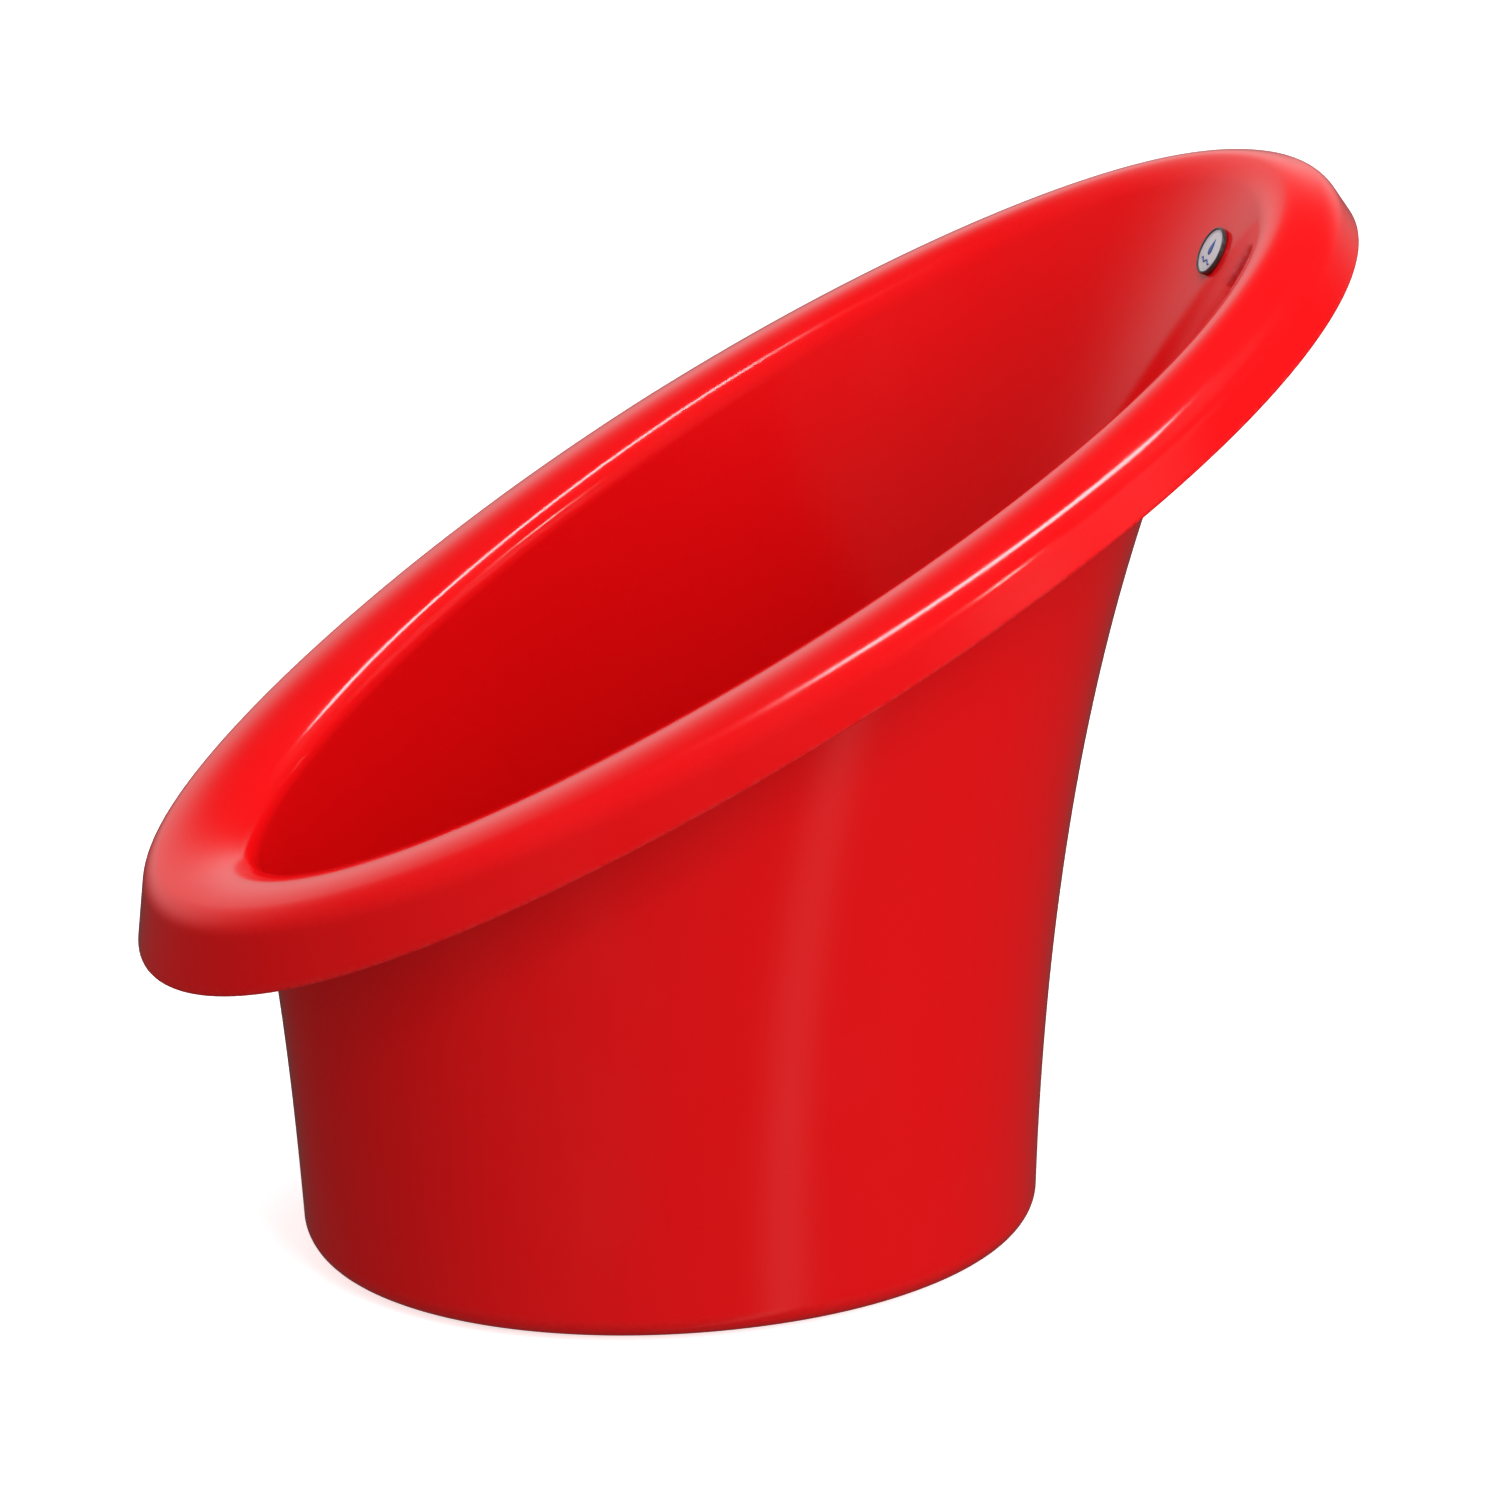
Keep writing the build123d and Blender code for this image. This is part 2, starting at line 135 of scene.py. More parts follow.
class ShapeTree:
    """Builds one Geometry Nodes tree and turns its result into a plain mesh piece."""

    def __init__(self, name: str) -> None:
        """Start an empty tree.

        Args:
            name: Name of the tree and of the piece that it makes.
        """
        self.name = name
        self.tree = bpy.data.node_groups.new(name + "_tree", "GeometryNodeTree")
        self.tree.interface.new_socket("Geometry", in_out="OUTPUT",
                                       socket_type="NodeSocketGeometry")
        self.entry = self.node("NodeGroupInput")
        self.sizes: list[tuple[str, float]] = []
        self.parts: list[bpy.types.NodeSocket] = []
        position = self.node("GeometryNodeInputPosition")
        separate = self.node("ShaderNodeSeparateXYZ", Vector=position.outputs[0])
        self.across = Field(self, separate.outputs[0]) + 0.5
        self.along = Field(self, separate.outputs[1]) + 0.5

    def node(self, kind: str, **inputs: object) -> bpy.types.Node:
        """Add a node and set or link its inputs by name."""
        made = self.tree.nodes.new(kind)
        for key, value in inputs.items():
            self.feed(made.inputs[key.replace("_", " ")], value)
        return made

    def feed(self, socket: bpy.types.NodeSocket, value: object) -> None:
        """Link a socket or a Field to an input, or set its plain value."""
        if isinstance(value, Field):
            value = value.value
        if isinstance(value, bpy.types.NodeSocket):
            self.tree.links.new(value, socket)
        else:
            socket.default_value = value

    def size(self, name: str, value: float) -> Field:
        """Add a named size input to the tree and return it as a Field."""
        socket = self.tree.interface.new_socket(name, in_out="INPUT",
                                                socket_type="NodeSocketFloat")
        self.sizes.append((socket.identifier, value))
        return Field(self, self.entry.outputs[name])

    def math(self, operation: str, *values: "Field | float") -> Field:
        """Add a Math node."""
        made = self.tree.nodes.new("ShaderNodeMath")
        made.operation = operation
        for socket, value in zip(made.inputs, values):
            self.feed(socket, value)
        return Field(self, made.outputs[0])

    def number(self, value: float) -> Field:
        """A plain number as a Field."""
        made = self.node("ShaderNodeValue")
        made.outputs[0].default_value = value
        return Field(self, made.outputs[0])

    def arctan2(self, rise: "Field | float", run: "Field | float") -> Field:
        """Angle in radians of a rise over a run."""
        return self.math("ARCTAN2", rise, run)

    def point(self, x: "Field | float", y: "Field | float", z: "Field | float") -> object:
        """Join three numbers in millimetres into a position in metres."""
        made = self.tree.nodes.new("ShaderNodeCombineXYZ")
        for socket, value in zip(made.inputs, (x, y, z)):
            self.feed(socket, value)
        scale = self.tree.nodes.new("ShaderNodeVectorMath")
        scale.operation = "SCALE"
        self.feed(scale.inputs["Vector"], made.outputs[0])
        scale.inputs["Scale"].default_value = MM
        return scale.outputs[0]

    def sheet(self, columns: int, rows: int, position: object) -> None:
        """Add a grid of faces whose points are moved to a position field.

        Args:
            columns: Faces across, along which `across` runs from 0 to 1.
            rows: Faces along, along which `along` runs from 0 to 1.
            position: Vector socket in metres.
        """
        grid = self.node("GeometryNodeMeshGrid", Size_X=1.0, Size_Y=1.0,
                         Vertices_X=columns + 1, Vertices_Y=rows + 1)
        moved = self.node("GeometryNodeSetPosition", Geometry=grid.outputs["Mesh"],
                          Position=position)
        self.parts.append(moved.outputs[0])

    def gather(self) -> bpy.types.NodeSocket:
        """Join the parts added so far, weld them and start afresh."""
        join = self.node("GeometryNodeJoinGeometry")
        for part in self.parts:
            self.tree.links.new(part, join.inputs[0])
        self.parts = []
        return self.node("GeometryNodeMergeByDistance", Geometry=join.outputs[0],
                         Distance=WELD * MM).outputs[0]

    def repeat_at_corners(self, middle: "Field | float", length: "Field | float",
                          width: "Field | float") -> None:
        """Repeat what has been added so far at the four corners of a rectangle.

        Args:
            middle: X of the rectangle's middle, in millimetres.
            length: Its size along X.
            width: Its size along Y.
        """
        shape = self.gather()
        grid = self.node("GeometryNodeMeshGrid", Size_X=length * MM,
                         Size_Y=width * MM, Vertices_X=2, Vertices_Y=2)
        shifted = self.node("GeometryNodeSetPosition", Geometry=grid.outputs["Mesh"],
                            Offset=self.point(middle, 0.0, 0.0))
        self.parts.append(self.node("GeometryNodeInstanceOnPoints", Points=shifted.outputs[0],
                                    Instance=shape).outputs[0])

    def repeat_around(self, x: float, radius: float, count: int) -> None:
        """Repeat what has been added so far evenly around an upright axis at X."""
        shape = self.gather()
        circle = self.node("GeometryNodeMeshCircle", Vertices=count, Radius=radius * MM)
        shifted = self.node("GeometryNodeSetPosition", Geometry=circle.outputs[0],
                            Offset=self.point(x, 0.0, 0.0))
        self.parts.append(self.node("GeometryNodeInstanceOnPoints", Points=shifted.outputs[0],
                                    Instance=shape).outputs[0])

    def piece(self, material: bpy.types.Material) -> bpy.types.Object:
        """Weld the parts, evaluate the tree once and return the result as a plain object.

        Args:
            material: Material that Set Material gives the whole piece.

        Returns:
            An object at the origin whose mesh has its faces outwards.
        """
        real = self.node("GeometryNodeRealizeInstances", Geometry=self.gather())
        dressed = self.node("GeometryNodeSetMaterial", Geometry=real.outputs[0],
                            Material=material)
        self.tree.links.new(dressed.outputs[0], self.node("NodeGroupOutput").inputs[0])
        carrier = bpy.data.objects.new(self.name + "_carrier", bpy.data.meshes.new(self.name))
        bpy.context.scene.collection.objects.link(carrier)
        modifier = carrier.modifiers.new("shape", "NODES")
        modifier.node_group = self.tree
        for identifier, value in self.sizes:
            modifier[identifier] = value
        depsgraph = bpy.context.evaluated_depsgraph_get()
        mesh = bpy.data.meshes.new_from_object(carrier.evaluated_get(depsgraph))
        bpy.data.objects.remove(carrier)
        mesh.name = self.name
        return finished(self.name, mesh)


def finished(name: str, mesh: bpy.types.Mesh) -> bpy.types.Object:
    """Turn a closed mesh's faces outwards, smooth it and put it in the scene at the origin."""
    shape = bmesh.new()
    shape.from_mesh(mesh)
    bmesh.ops.recalc_face_normals(shape, faces=shape.faces)
    shape.to_mesh(mesh)
    shape.free()
    mesh.shade_smooth()
    mesh.set_sharp_from_angle(angle=SMOOTH_LIMIT)
    made = bpy.data.objects.new(name, mesh)
    bpy.context.scene.collection.objects.link(made)
    return made


# ------------------------------------------------------------------------------ turned shapes
@dataclass(frozen=True)
class Place:
    """Where a shape stands: its middle, and its own right, up and out directions."""

    middle: tuple[float, float, float] = (0.0, 0.0, 0.0)
    right: tuple[float, float, float] = (1.0, 0.0, 0.0)
    up: tuple[float, float, float] = (0.0, 1.0, 0.0)
    out: tuple[float, float, float] = (0.0, 0.0, 1.0)

    def point(self, a: Field, b: Field, c: "Field | float") -> list[Field]:
        """Shape's own right, up and out distances as a point of the row frame."""
        made = []
        for middle, right, up, out in zip(self.middle, self.right, self.up, self.out):
            total = middle
            for value, share in ((a, right), (b, up), (c, out)):
                if share:
                    term = value if share == 1.0 else value * share
                    total = term + total if total else term
            made.append(total)
        return made


Profile = Sequence[tuple[float, float]]


def rounded(centre: tuple[float, float], radius: float, start: float, end: float,
            steps: int = 5) -> list[tuple[float, float]]:
    """Points of an arc in a profile, from and to angles in degrees."""
    turns = [radians(start + (end - start) * k / steps) for k in range(steps + 1)]
    return [(centre[0] + radius * cos(t), centre[1] + radius * sin(t)) for t in turns]


def turned(tree: ShapeTree, profile: Profile, place: Place, columns: int = 96) -> None:
    """Add a body that a profile of (radius, height) points makes when it is turned.

    Args:
        tree: Tree that takes the body.
        profile: Points in order. It starts and ends on the axis, or its last point is its first.
        place: Where the axis stands.
        columns: Faces around.
    """
    turn = tree.across * tau
    right, up = turn.cos(), turn.sin()
    for (r0, h0), (r1, h1) in zip(profile, profile[1:]):
        radius = tree.along * (r1 - r0) + r0 if r1 != r0 else r0
        height = tree.along * (h1 - h0) + h0 if h1 != h0 else h0
        tree.sheet(columns, 1, tree.point(*place.point(right * radius, up * radius, height)))


# ------------------------------------------------------------------------------ finishes
class Shading:
    """A node material around one Principled shader."""

    def __init__(self, name: str) -> None:
        """Start a material with an empty tree.

        Args:
            name: Name of the finish.
        """
        self.material = bpy.data.materials.new(name)
        self.material.use_nodes = True
        self.tree = self.material.node_tree
        self.shader = next(n for n in self.tree.nodes if n.type == "BSDF_PRINCIPLED")
        self.place = self.add("ShaderNodeTexCoord").outputs["Object"]

    def add(self, kind: str, **inputs: object) -> bpy.types.Node:
        """Add a node and set or link its inputs by name."""
        made = self.tree.nodes.new(kind)
        for key, value in inputs.items():
            self.feed(made.inputs[key.replace("_", " ")], value)
        return made

    def feed(self, socket: bpy.types.NodeSocket, value: object) -> None:
        """Link a socket to an input, or set its plain value."""
        if isinstance(value, bpy.types.NodeSocket):
            self.tree.links.new(value, socket)
        else:
            socket.default_value = value

    def noise(self, scale: float, detail: float = 3.0, stretch: Sequence[float] = (1, 1, 1),
              roughness: float = 0.5) -> bpy.types.NodeSocket:
        """Noise in object coordinates; the scale counts features per metre."""
        mapped = self.add("ShaderNodeMapping", Vector=self.place)
        mapped.inputs["Scale"].default_value = stretch
        made = self.add("ShaderNodeTexNoise", Vector=mapped.outputs[0], Scale=scale,
                        Detail=detail, Roughness=roughness)
        return made.outputs["Fac"]

    def span(self, value: bpy.types.NodeSocket, low: float, high: float,
             start: float = 0.0, end: float = 1.0) -> bpy.types.NodeSocket:
        """Map a value from low..high to start..end, clamped."""
        made = self.add("ShaderNodeMapRange", Value=value)
        made.inputs["From Min"].default_value = low
        made.inputs["From Max"].default_value = high
        made.inputs["To Min"].default_value = start
        made.inputs["To Max"].default_value = end
        return made.outputs["Result"]

    def blend(self, share: bpy.types.NodeSocket, first: Sequence[float] | bpy.types.NodeSocket,
              second: Sequence[float] | bpy.types.NodeSocket) -> bpy.types.NodeSocket:
        """Mix two colours by a share from 0 to 1."""
        made = self.add("ShaderNodeMix")
        made.data_type = "RGBA"
        self.feed(made.inputs["Factor"], share)
        for socket, value in ((made.inputs[6], first), (made.inputs[7], second)):
            self.feed(socket, value if isinstance(value, bpy.types.NodeSocket) else (*value, 1))
        return made.outputs[2]

    def multiply(self, first: object, second: object) -> bpy.types.NodeSocket:
        """Product of two values."""
        made = self.add("ShaderNodeMath")
        made.operation = "MULTIPLY"
        self.feed(made.inputs[0], first)
        self.feed(made.inputs[1], second)
        return made.outputs[0]

    def bump(self, height: bpy.types.NodeSocket, depth: float, strength: float = 1.0,
             under: bpy.types.NodeSocket | None = None) -> bpy.types.NodeSocket:
        """Bump of a depth in millimetres, on top of another bump if one is given."""
        made = self.add("ShaderNodeBump", Height=height, Strength=strength,
                        Distance=depth * MM)
        if under is not None:
            self.feed(made.inputs["Normal"], under)
        return made.outputs[0]


@dataclass(frozen=True)
class GlossPlastic:
    """High-gloss moulded plastic: faint flow variation, orange peel, rubbed patches, edge wear."""

    name: str
    colour: tuple[float, float, float]
    deep: tuple[float, float, float]
    roughness: float = 0.13
    peel: float = 0.02
    scuffs: float = 0.05

    def material(self) -> bpy.types.Material:
        """Build the node material."""
        look = Shading(self.name)
        flow = look.noise(5.0, 2.0, (1, 1, 0.35))
        fine = look.noise(420.0, 2.0)
        colour = look.blend(look.span(flow, 0.3, 0.7), self.deep, self.colour)
        rub = look.span(look.noise(14.0, 3.0), 0.55, 0.75)
        wear = look.add("ShaderNodeNewGeometry").outputs["Pointiness"]
        edge = look.multiply(look.span(wear, 0.505, 0.54), look.span(fine, 0.35, 0.7))
        pale = tuple(min(1.0, c * 0.7 + 0.22) for c in self.colour)
        colour = look.blend(look.multiply(edge, 0.12), colour, pale)
        look.feed(look.shader.inputs["Base Color"], colour)
        smear = look.noise(26.0, 4.0, (1, 1, 0.5))
        rough = look.span(smear, 0.3, 0.75, self.roughness * 0.8, self.roughness * 1.25)
        scuffed = look.add("ShaderNodeMath")
        scuffed.operation = "ADD"
        look.feed(scuffed.inputs[0], rough)
        look.feed(scuffed.inputs[1], look.multiply(rub, self.scuffs))
        look.feed(look.shader.inputs["Roughness"], scuffed.outputs[0])
        peel = look.bump(look.noise(75.0, 2.0), self.peel, 0.35)
        look.feed(look.shader.inputs["Normal"], look.bump(fine, self.peel * 0.1, 0.25, peel))
        look.shader.inputs["IOR"].default_value = 1.5
        look.shader.inputs["Specular IOR Level"].default_value = 0.5
        return look.material


@dataclass(frozen=True)
class SatinPlastic:
    """Satin moulded plastic with a fine spark-eroded grain."""

    name: str
    colour: tuple[float, float, float]
    roughness: float = 0.42
    grain: float = 0.03

    def material(self) -> bpy.types.Material:
        """Build the node material."""
        look = Shading(self.name)
        dark = tuple(c * 0.86 for c in self.colour)
        colour = look.blend(look.span(look.noise(35.0, 4.0), 0.35, 0.7), self.colour, dark)
        look.feed(look.shader.inputs["Base Color"], colour)
        grain = look.noise(2600.0, 2.0)
        look.feed(look.shader.inputs["Roughness"],
                  look.span(grain, 0.2, 0.8, self.roughness * 0.85, self.roughness * 1.2))
        look.feed(look.shader.inputs["Normal"], look.bump(grain, self.grain, 0.5))
        return look.material


@dataclass(frozen=True)
class Rubber:
    """Moulded rubber or silicone: soft sheen, dust in patches."""

    name: str
    colour: tuple[float, float, float]
    dust: tuple[float, float, float]
    roughness: float = 0.62

    def material(self) -> bpy.types.Material:
        """Build the node material."""
        look = Shading(self.name)
        patches = look.noise(160.0, 5.0)
        colour = look.blend(look.span(patches, 0.45, 0.8, 0.0, 0.45), self.colour, self.dust)
        look.feed(look.shader.inputs["Base Color"], colour)
        look.feed(look.shader.inputs["Roughness"],
                  look.span(patches, 0.3, 0.7, self.roughness * 0.85, self.roughness * 1.15))
        skin = look.noise(1900.0, 3.0)
        look.feed(look.shader.inputs["Normal"], look.bump(skin, 0.05, 0.5))
        look.shader.inputs["Sheen Weight"].default_value = 0.15
        look.shader.inputs["Sheen Roughness"].default_value = 0.5
        return look.material


@dataclass(frozen=True)
class Steel:
    """Polished stainless wire with fine drawing lines."""

    name: str
    colour: tuple[float, float, float]
    roughness: float = 0.18

    def material(self) -> bpy.types.Material:
        """Build the node material."""
        look = Shading(self.name)
        lines = look.noise(1500.0, 3.0, (0.15, 1, 1))
        dark = tuple(c * 0.82 for c in self.colour)
        look.feed(look.shader.inputs["Base Color"],
                  look.blend(look.span(lines, 0.4, 0.7), self.colour, dark))
        look.feed(look.shader.inputs["Roughness"],
                  look.span(lines, 0.3, 0.7, self.roughness * 0.7, self.roughness * 1.5))
        look.feed(look.shader.inputs["Normal"], look.bump(lines, 0.01, 0.4))
        look.shader.inputs["Metallic"].default_value = 1.0
        return look.material


# ------------------------------------------------------------------------------ tub
@dataclass(frozen=True)
class Oval:
    """A superellipse in plan, optionally wider towards the back."""

    middle: float
    half_length: float
    half_width: float
    power: float
    egg: float = 0.0


@dataclass(frozen=True)
class Around:
    """A size that changes around the rim: mean, front to back, ends against sides."""

    mean: float
    to_back: float
    to_ends: float


@dataclass
class TubShell:
    """The one-piece tub: raised floor on a skirt, flaring wall, rolled rim with a hem."""

    sheet: float = 3.0
    ground_gap: float = 1.5
    floor_rise: float = 12.0
    base: Oval = Oval(-31.1, 151.8, 121.7, 2.03)
    base_round: float = 11.5
    floor_fillet: float = 14.0
    skirt_fillet: float = 2.0
    lip_turn: float = radians(9)
    rim: Oval = Oval(3.8, 202.5, 129.5, 1.97, 0.07)
    rim_height: float = 301.6
    rim_slope: float = 0.60
    rim_bow: float = -3.0e-5
    rim_twist: float = 3.9e-7
    roll_width: Around = Around(44.4, -5.7, -4.95)
    roll_depth: Around = Around(24.7, -8.7, 3.1)
    bend_radius: Around = Around(15.0, 7.0, 4.0)
    shoulder_radius: Around = Around(15.5, 0.0, -5.0)
    wall_top: float = 6.3
    crown_lean: float = radians(20)
    crown_inside: float = -1.9
    crown_outside: float = -3.4
    hem_top: tuple[float, float] = (0.3, -12.5)
    hem_flare: float = 3.2
    top_bank: float = 0.22
    hem_bank: float = 0.06
    lean_front: float = radians(3.4)
    lean_back: float = radians(1.2)
    knee: tuple[float, float] = (0.66, -0.03)
    drain_x: float = -100.0
    drain_bore: float = 20.3
    sump_radius: float = 32.0
    sump_edge: float = 1.0
    columns: int = 256
    wall_rows: int = 56
    normal_step: float = 2e-3
    tree: ShapeTree = field(init=False)

    def build(self, finish: GlossPlastic) -> bpy.types.Object:
        """Make the tub's mesh from its section, carried around the base and rim lines.

        Args:
            finish: The tub's plastic.

        Returns:
            The welded, closed shell.
        """
        self.tree = ShapeTree("tub_shell_skin")
        self._named_sizes()
        self._station()
        self._skirt()
        self._outer_wall()
        self._rolled_rim()
        self._hem()
        self._inner_side()
        self._floor_and_sump()
        return self.tree.piece(finish.material())

    def _named_sizes(self) -> None:
        """Give the tree its named size inputs."""
        size = self.tree.size
        self.thick = size("Sheet thickness", self.sheet)
        self.lift = size("Ground gap", self.ground_gap)
        self.under = size("Floor underside", self.floor_rise - self.ground_gap)
        self.round = size("Base rounding", self.base_round)
        self.wall_end = size("Wall end below bend line", self.wall_top)
        self.crown_in = size("Crown over bend line", self.crown_inside)
        self.crown_out = size("Crown over outer edge", self.crown_outside)
        self.flare = size("Hem flare", self.hem_flare)
        self.height = size("Rim height", self.rim_height)
        self.slope = size("Rim slope", self.rim_slope)
        self.fillet = size("Floor fillet", self.floor_fillet)

    def _oval(self, oval: Oval, turn: Field) -> Pair:
        """Point of an oval line at a turn; turn 0 is the back."""
        x = turn.cos().signed_power(2 / oval.power) * oval.half_length + oval.middle
        y = turn.sin().signed_power(2 / oval.power) * oval.half_width
        if oval.egg:
            y = y * (turn.cos() * oval.egg + 1)
        return x, y

    def _oval_normal(self, oval: Oval, turn: Field) -> Pair:
        """Outward normal of an oval line in plan."""
        x0, y0 = self._oval(oval, turn - self.normal_step)
        x1, y1 = self._oval(oval, turn + self.normal_step)
        dx, dy = x1 - x0, y1 - y0
        length = (dx * dx + dy * dy).root()
        return dy / length, -dx / length

    def _around(self, size: Around) -> Field:
        """Size at the current turn."""
        return size.mean + self.back * size.to_back + (self.back * self.back - 0.5) * size.to_ends

    def _station(self) -> None:
        """Work out what depends on the turn alone."""
        turn = self.tree.across * tau
        self.turn = turn
        self.back = turn.cos()
        self.base_point = self._oval(self.base, turn)
        self.base_out = self._oval_normal(self.base, turn)
        self.rim_point = self._oval(self.rim, turn)
        self.rim_out = self._oval_normal(self.rim, turn)
        x = self.rim_point[0] - self.rim.middle
        self.rim_z = (self.height + x * self.slope + x * x * self.rim_bow
                      + x * x * x * self.rim_twist)
        climb = self.slope + x * (2 * self.rim_bow) + x * x * (3 * self.rim_twist)
        climb = (climb * self.rim_out[0]).arctan()
        self.bank = climb * self.top_bank
        self.hem_tilt = climb * self.hem_bank
        self._roll()

    def _roll(self) -> None:
        """Work out the rolled rim's tangent lines and the middles of its bend and shoulder."""
        width = self._around(self.roll_width)
        nx, ny = self.rim_out
        top = self._on_top(0.0, -self.wall_end)
        knee = self._wall_middle(self.thick, self.under + self.thick + self.fillet)
        run = [a - b for a, b in zip(top, knee)]
        arctan2 = self.tree.arctan2
        self.wall_turn = pi - arctan2(run[0] * nx + run[1] * ny, run[2]) - self.bank
        self.hem_start = (width + self.hem_top[0], self.tree.number(self.hem_top[1]))
        self.hem_drop = self._around(self.roll_depth) + self.hem_top[1]
        self.hem_turn = arctan2(self.flare, self.hem_drop) + self.hem_tilt - self.bank
        self.bend_size = self._around(self.bend_radius)
        self.shoulder_size = self._around(self.shoulder_radius)
        lean = self.crown_lean
        self.rise = self._tangent(self.tree.number(pi / 2 + lean),
                                  (self.tree.number(0.0), self.crown_in))
        self.fall = self._tangent(self.tree.number(pi / 2 - lean), (width, self.crown_out))
        wall = self._tangent(self.wall_turn, (self.tree.number(0.0), -self.wall_end))
        hem = self._tangent(self.hem_turn, self.hem_start)
        self.bend = self._inside(self.rise, wall, self.bend_size)
        self.shoulder = self._inside(self.fall, hem, self.shoulder_size)

    @staticmethod
    def _tangent(angle: Field, point: Pair) -> Pair:
        """A line of the section, as the angle of its normal and its reach along that normal."""
        return angle, point[0] * angle.cos() + point[1] * angle.sin()

    @staticmethod
    def _inside(first: Pair, second: Pair, distance: Field) -> Pair:
        """The point that lies a distance inside both lines."""
        (a, p), (b, q) = first, second
        p, q, size = p - distance, q - distance, (b - a).sin()
        return ((p * b.sin() - q * a.sin()) / size, (q * a.cos() - p * b.cos()) / size)

    @staticmethod
    def _polar(centre: Pair, radius: Field, angle: Field) -> Pair:
        """Point of a circle of the section."""
        return centre[0] + angle.cos() * radius, centre[1] + angle.sin() * radius

    def _at_base(self, out: "Field | float", up: "Field | float") -> tuple[Field, Field, Field]:
        """Point near the base line, from an outward and an upward distance."""
        (x, y), (nx, ny) = self.base_point, self.base_out
        return x + nx * out, y + ny * out, self.lift + up

    def _at_rim(self, out: Field, up: Field) -> tuple[Field, Field, Field]:
        """Point near the rim's bend line."""
        (x, y), (nx, ny) = self.rim_point, self.rim_out
        return x + nx * out, y + ny * out, self.lift + self.rim_z + up

    @staticmethod
    def _tilt(out: "Field | float", up: "Field | float", angle: Field) -> Pair:
        """Turn an outward and upward pair by an angle."""
        return angle.cos() * out - angle.sin() * up, angle.sin() * out + angle.cos() * up

    def _on_top(self, out: "Field | float", up: "Field | float") -> tuple[Field, Field, Field]:
        """Point on the rim's banked top."""
        return self._at_rim(*self._tilt(out, up, self.bank))

    def _sheet(self, rows: int, point: Sequence[Field]) -> None:
        """Add one stretch of the section, all the way around."""
        self.tree.sheet(self.columns, rows, self.tree.point(*point))

    def _arc(self, rows: int, centre: Pair, radius: Field, start: Field | float,
             end: Field | float, place: Callable[..., tuple[Field, Field, Field]]) -> None:
        """Add a round stretch of the section."""
        angle = self.tree.along * (end - start) + start
        self._sheet(rows, place(centre[0] + angle.cos() * radius,
                                centre[1] + angle.sin() * radius))

    def _line(self, rows: int, start: Pair, end: Pair,
              place: Callable[..., tuple[Field, Field, Field]]) -> None:
        """Add a straight stretch of the section."""
        along = self.tree.along
        self._sheet(rows, place(start[0] + (end[0] - start[0]) * along,
                                start[1] + (end[1] - start[1]) * along))

    def _skirt(self) -> None:
        """Underside fillet, inner face, lip and outer rounding of the skirt."""
        centre = (-self.round, self.round)
        inner = self.round - self.thick
        down = self.under - self.skirt_fillet - self.round
        reach = inner - self.skirt_fillet
        out = (reach * reach - down * down).root()
        self.skirt_start = (centre[0] + out, self.under)
        swing = self.tree.arctan2(down, out)
        lip = self.lip_turn - pi / 2
        middle = self.round - self.thick * 0.5
        self._arc(5, (centre[0] + out, centre[1] + down), self.tree.number(self.skirt_fillet),
                  pi / 2, swing, self._at_base)
        self._arc(6, centre, inner, swing, lip, self._at_base)
        self._arc(8, (centre[0] + middle * cos(lip), centre[1] + middle * sin(lip)),
                  self.thick * 0.5, lip + pi, lip + tau, self._at_base)
        self._arc(12, centre, self.round, lip, 0.0, self._at_base)

    def _wall_middle(self, inset: "Field | float", foot: Field) -> tuple[Field, Field, Field]:
        """Middle control point of the wall's curve."""
        start = self._at_base(-inset, foot)
        top = self._on_top(self.thick - inset, -self.wall_end)
        knee = (top[2] - start[2]) * (self.back * self.knee[1] + self.knee[0])
        share = (self.back + 1) * 0.5
        lean = share * (self.lean_back - self.lean_front) + self.lean_front
        return self._at_base(lean.tan() * knee - inset, foot + knee)

    def _wall(self, inset: "Field | float", foot: Field, rows: int) -> None:
        """Add one face of the flaring wall, a quadratic curve from foot to bend."""
        start = self._at_base(-inset, foot)
        middle = self._wall_middle(inset, foot)
        end = self._on_top(*self._polar(self.bend, self.bend_size - self.thick + inset,
                                        self.wall_turn))
        self._curve(rows, start, middle, end)

    def _curve(self, rows: int, start: Sequence[Field], middle: Sequence[Field],
               end: Sequence[Field]) -> None:
        """Add a stretch that follows a quadratic curve."""
        t = self.tree.along
        s = 1 - t
        self._sheet(rows, [a * (s * s) + b * (s * t * 2) + c * (t * t)
                           for a, b, c in zip(start, middle, end)])

    def _outer_wall(self) -> None:
        """Dry face of the wall."""
        self._wall(self.tree.number(0.0), self.round, self.wall_rows)

    def _top_face(self, inset: Field, rows: int) -> None:
        """Bend, crown and shoulder of the rim, at a depth below its upper face."""
        bend_size, shoulder_size = self.bend_size - inset, self.shoulder_size - inset
        rise, fall = self.rise[0], self.fall[0]
        self._arc(rows, self.bend, bend_size, self.wall_turn, rise, self._on_top)
        self._curve(rows, self._on_top(*self._polar(self.bend, bend_size, rise)),
                    self._on_top(*self._inside(self.rise, self.fall, inset)),
                    self._on_top(*self._polar(self.shoulder, shoulder_size, fall)))
        self._arc(rows, self.shoulder, shoulder_size, fall, self.hem_turn, self._on_top)

    def _rolled_rim(self) -> None:
        """Upper and under face of the rolled rim."""
        self._top_face(self.thick, 8)
        self._top_face(self.tree.number(0.0), 12)

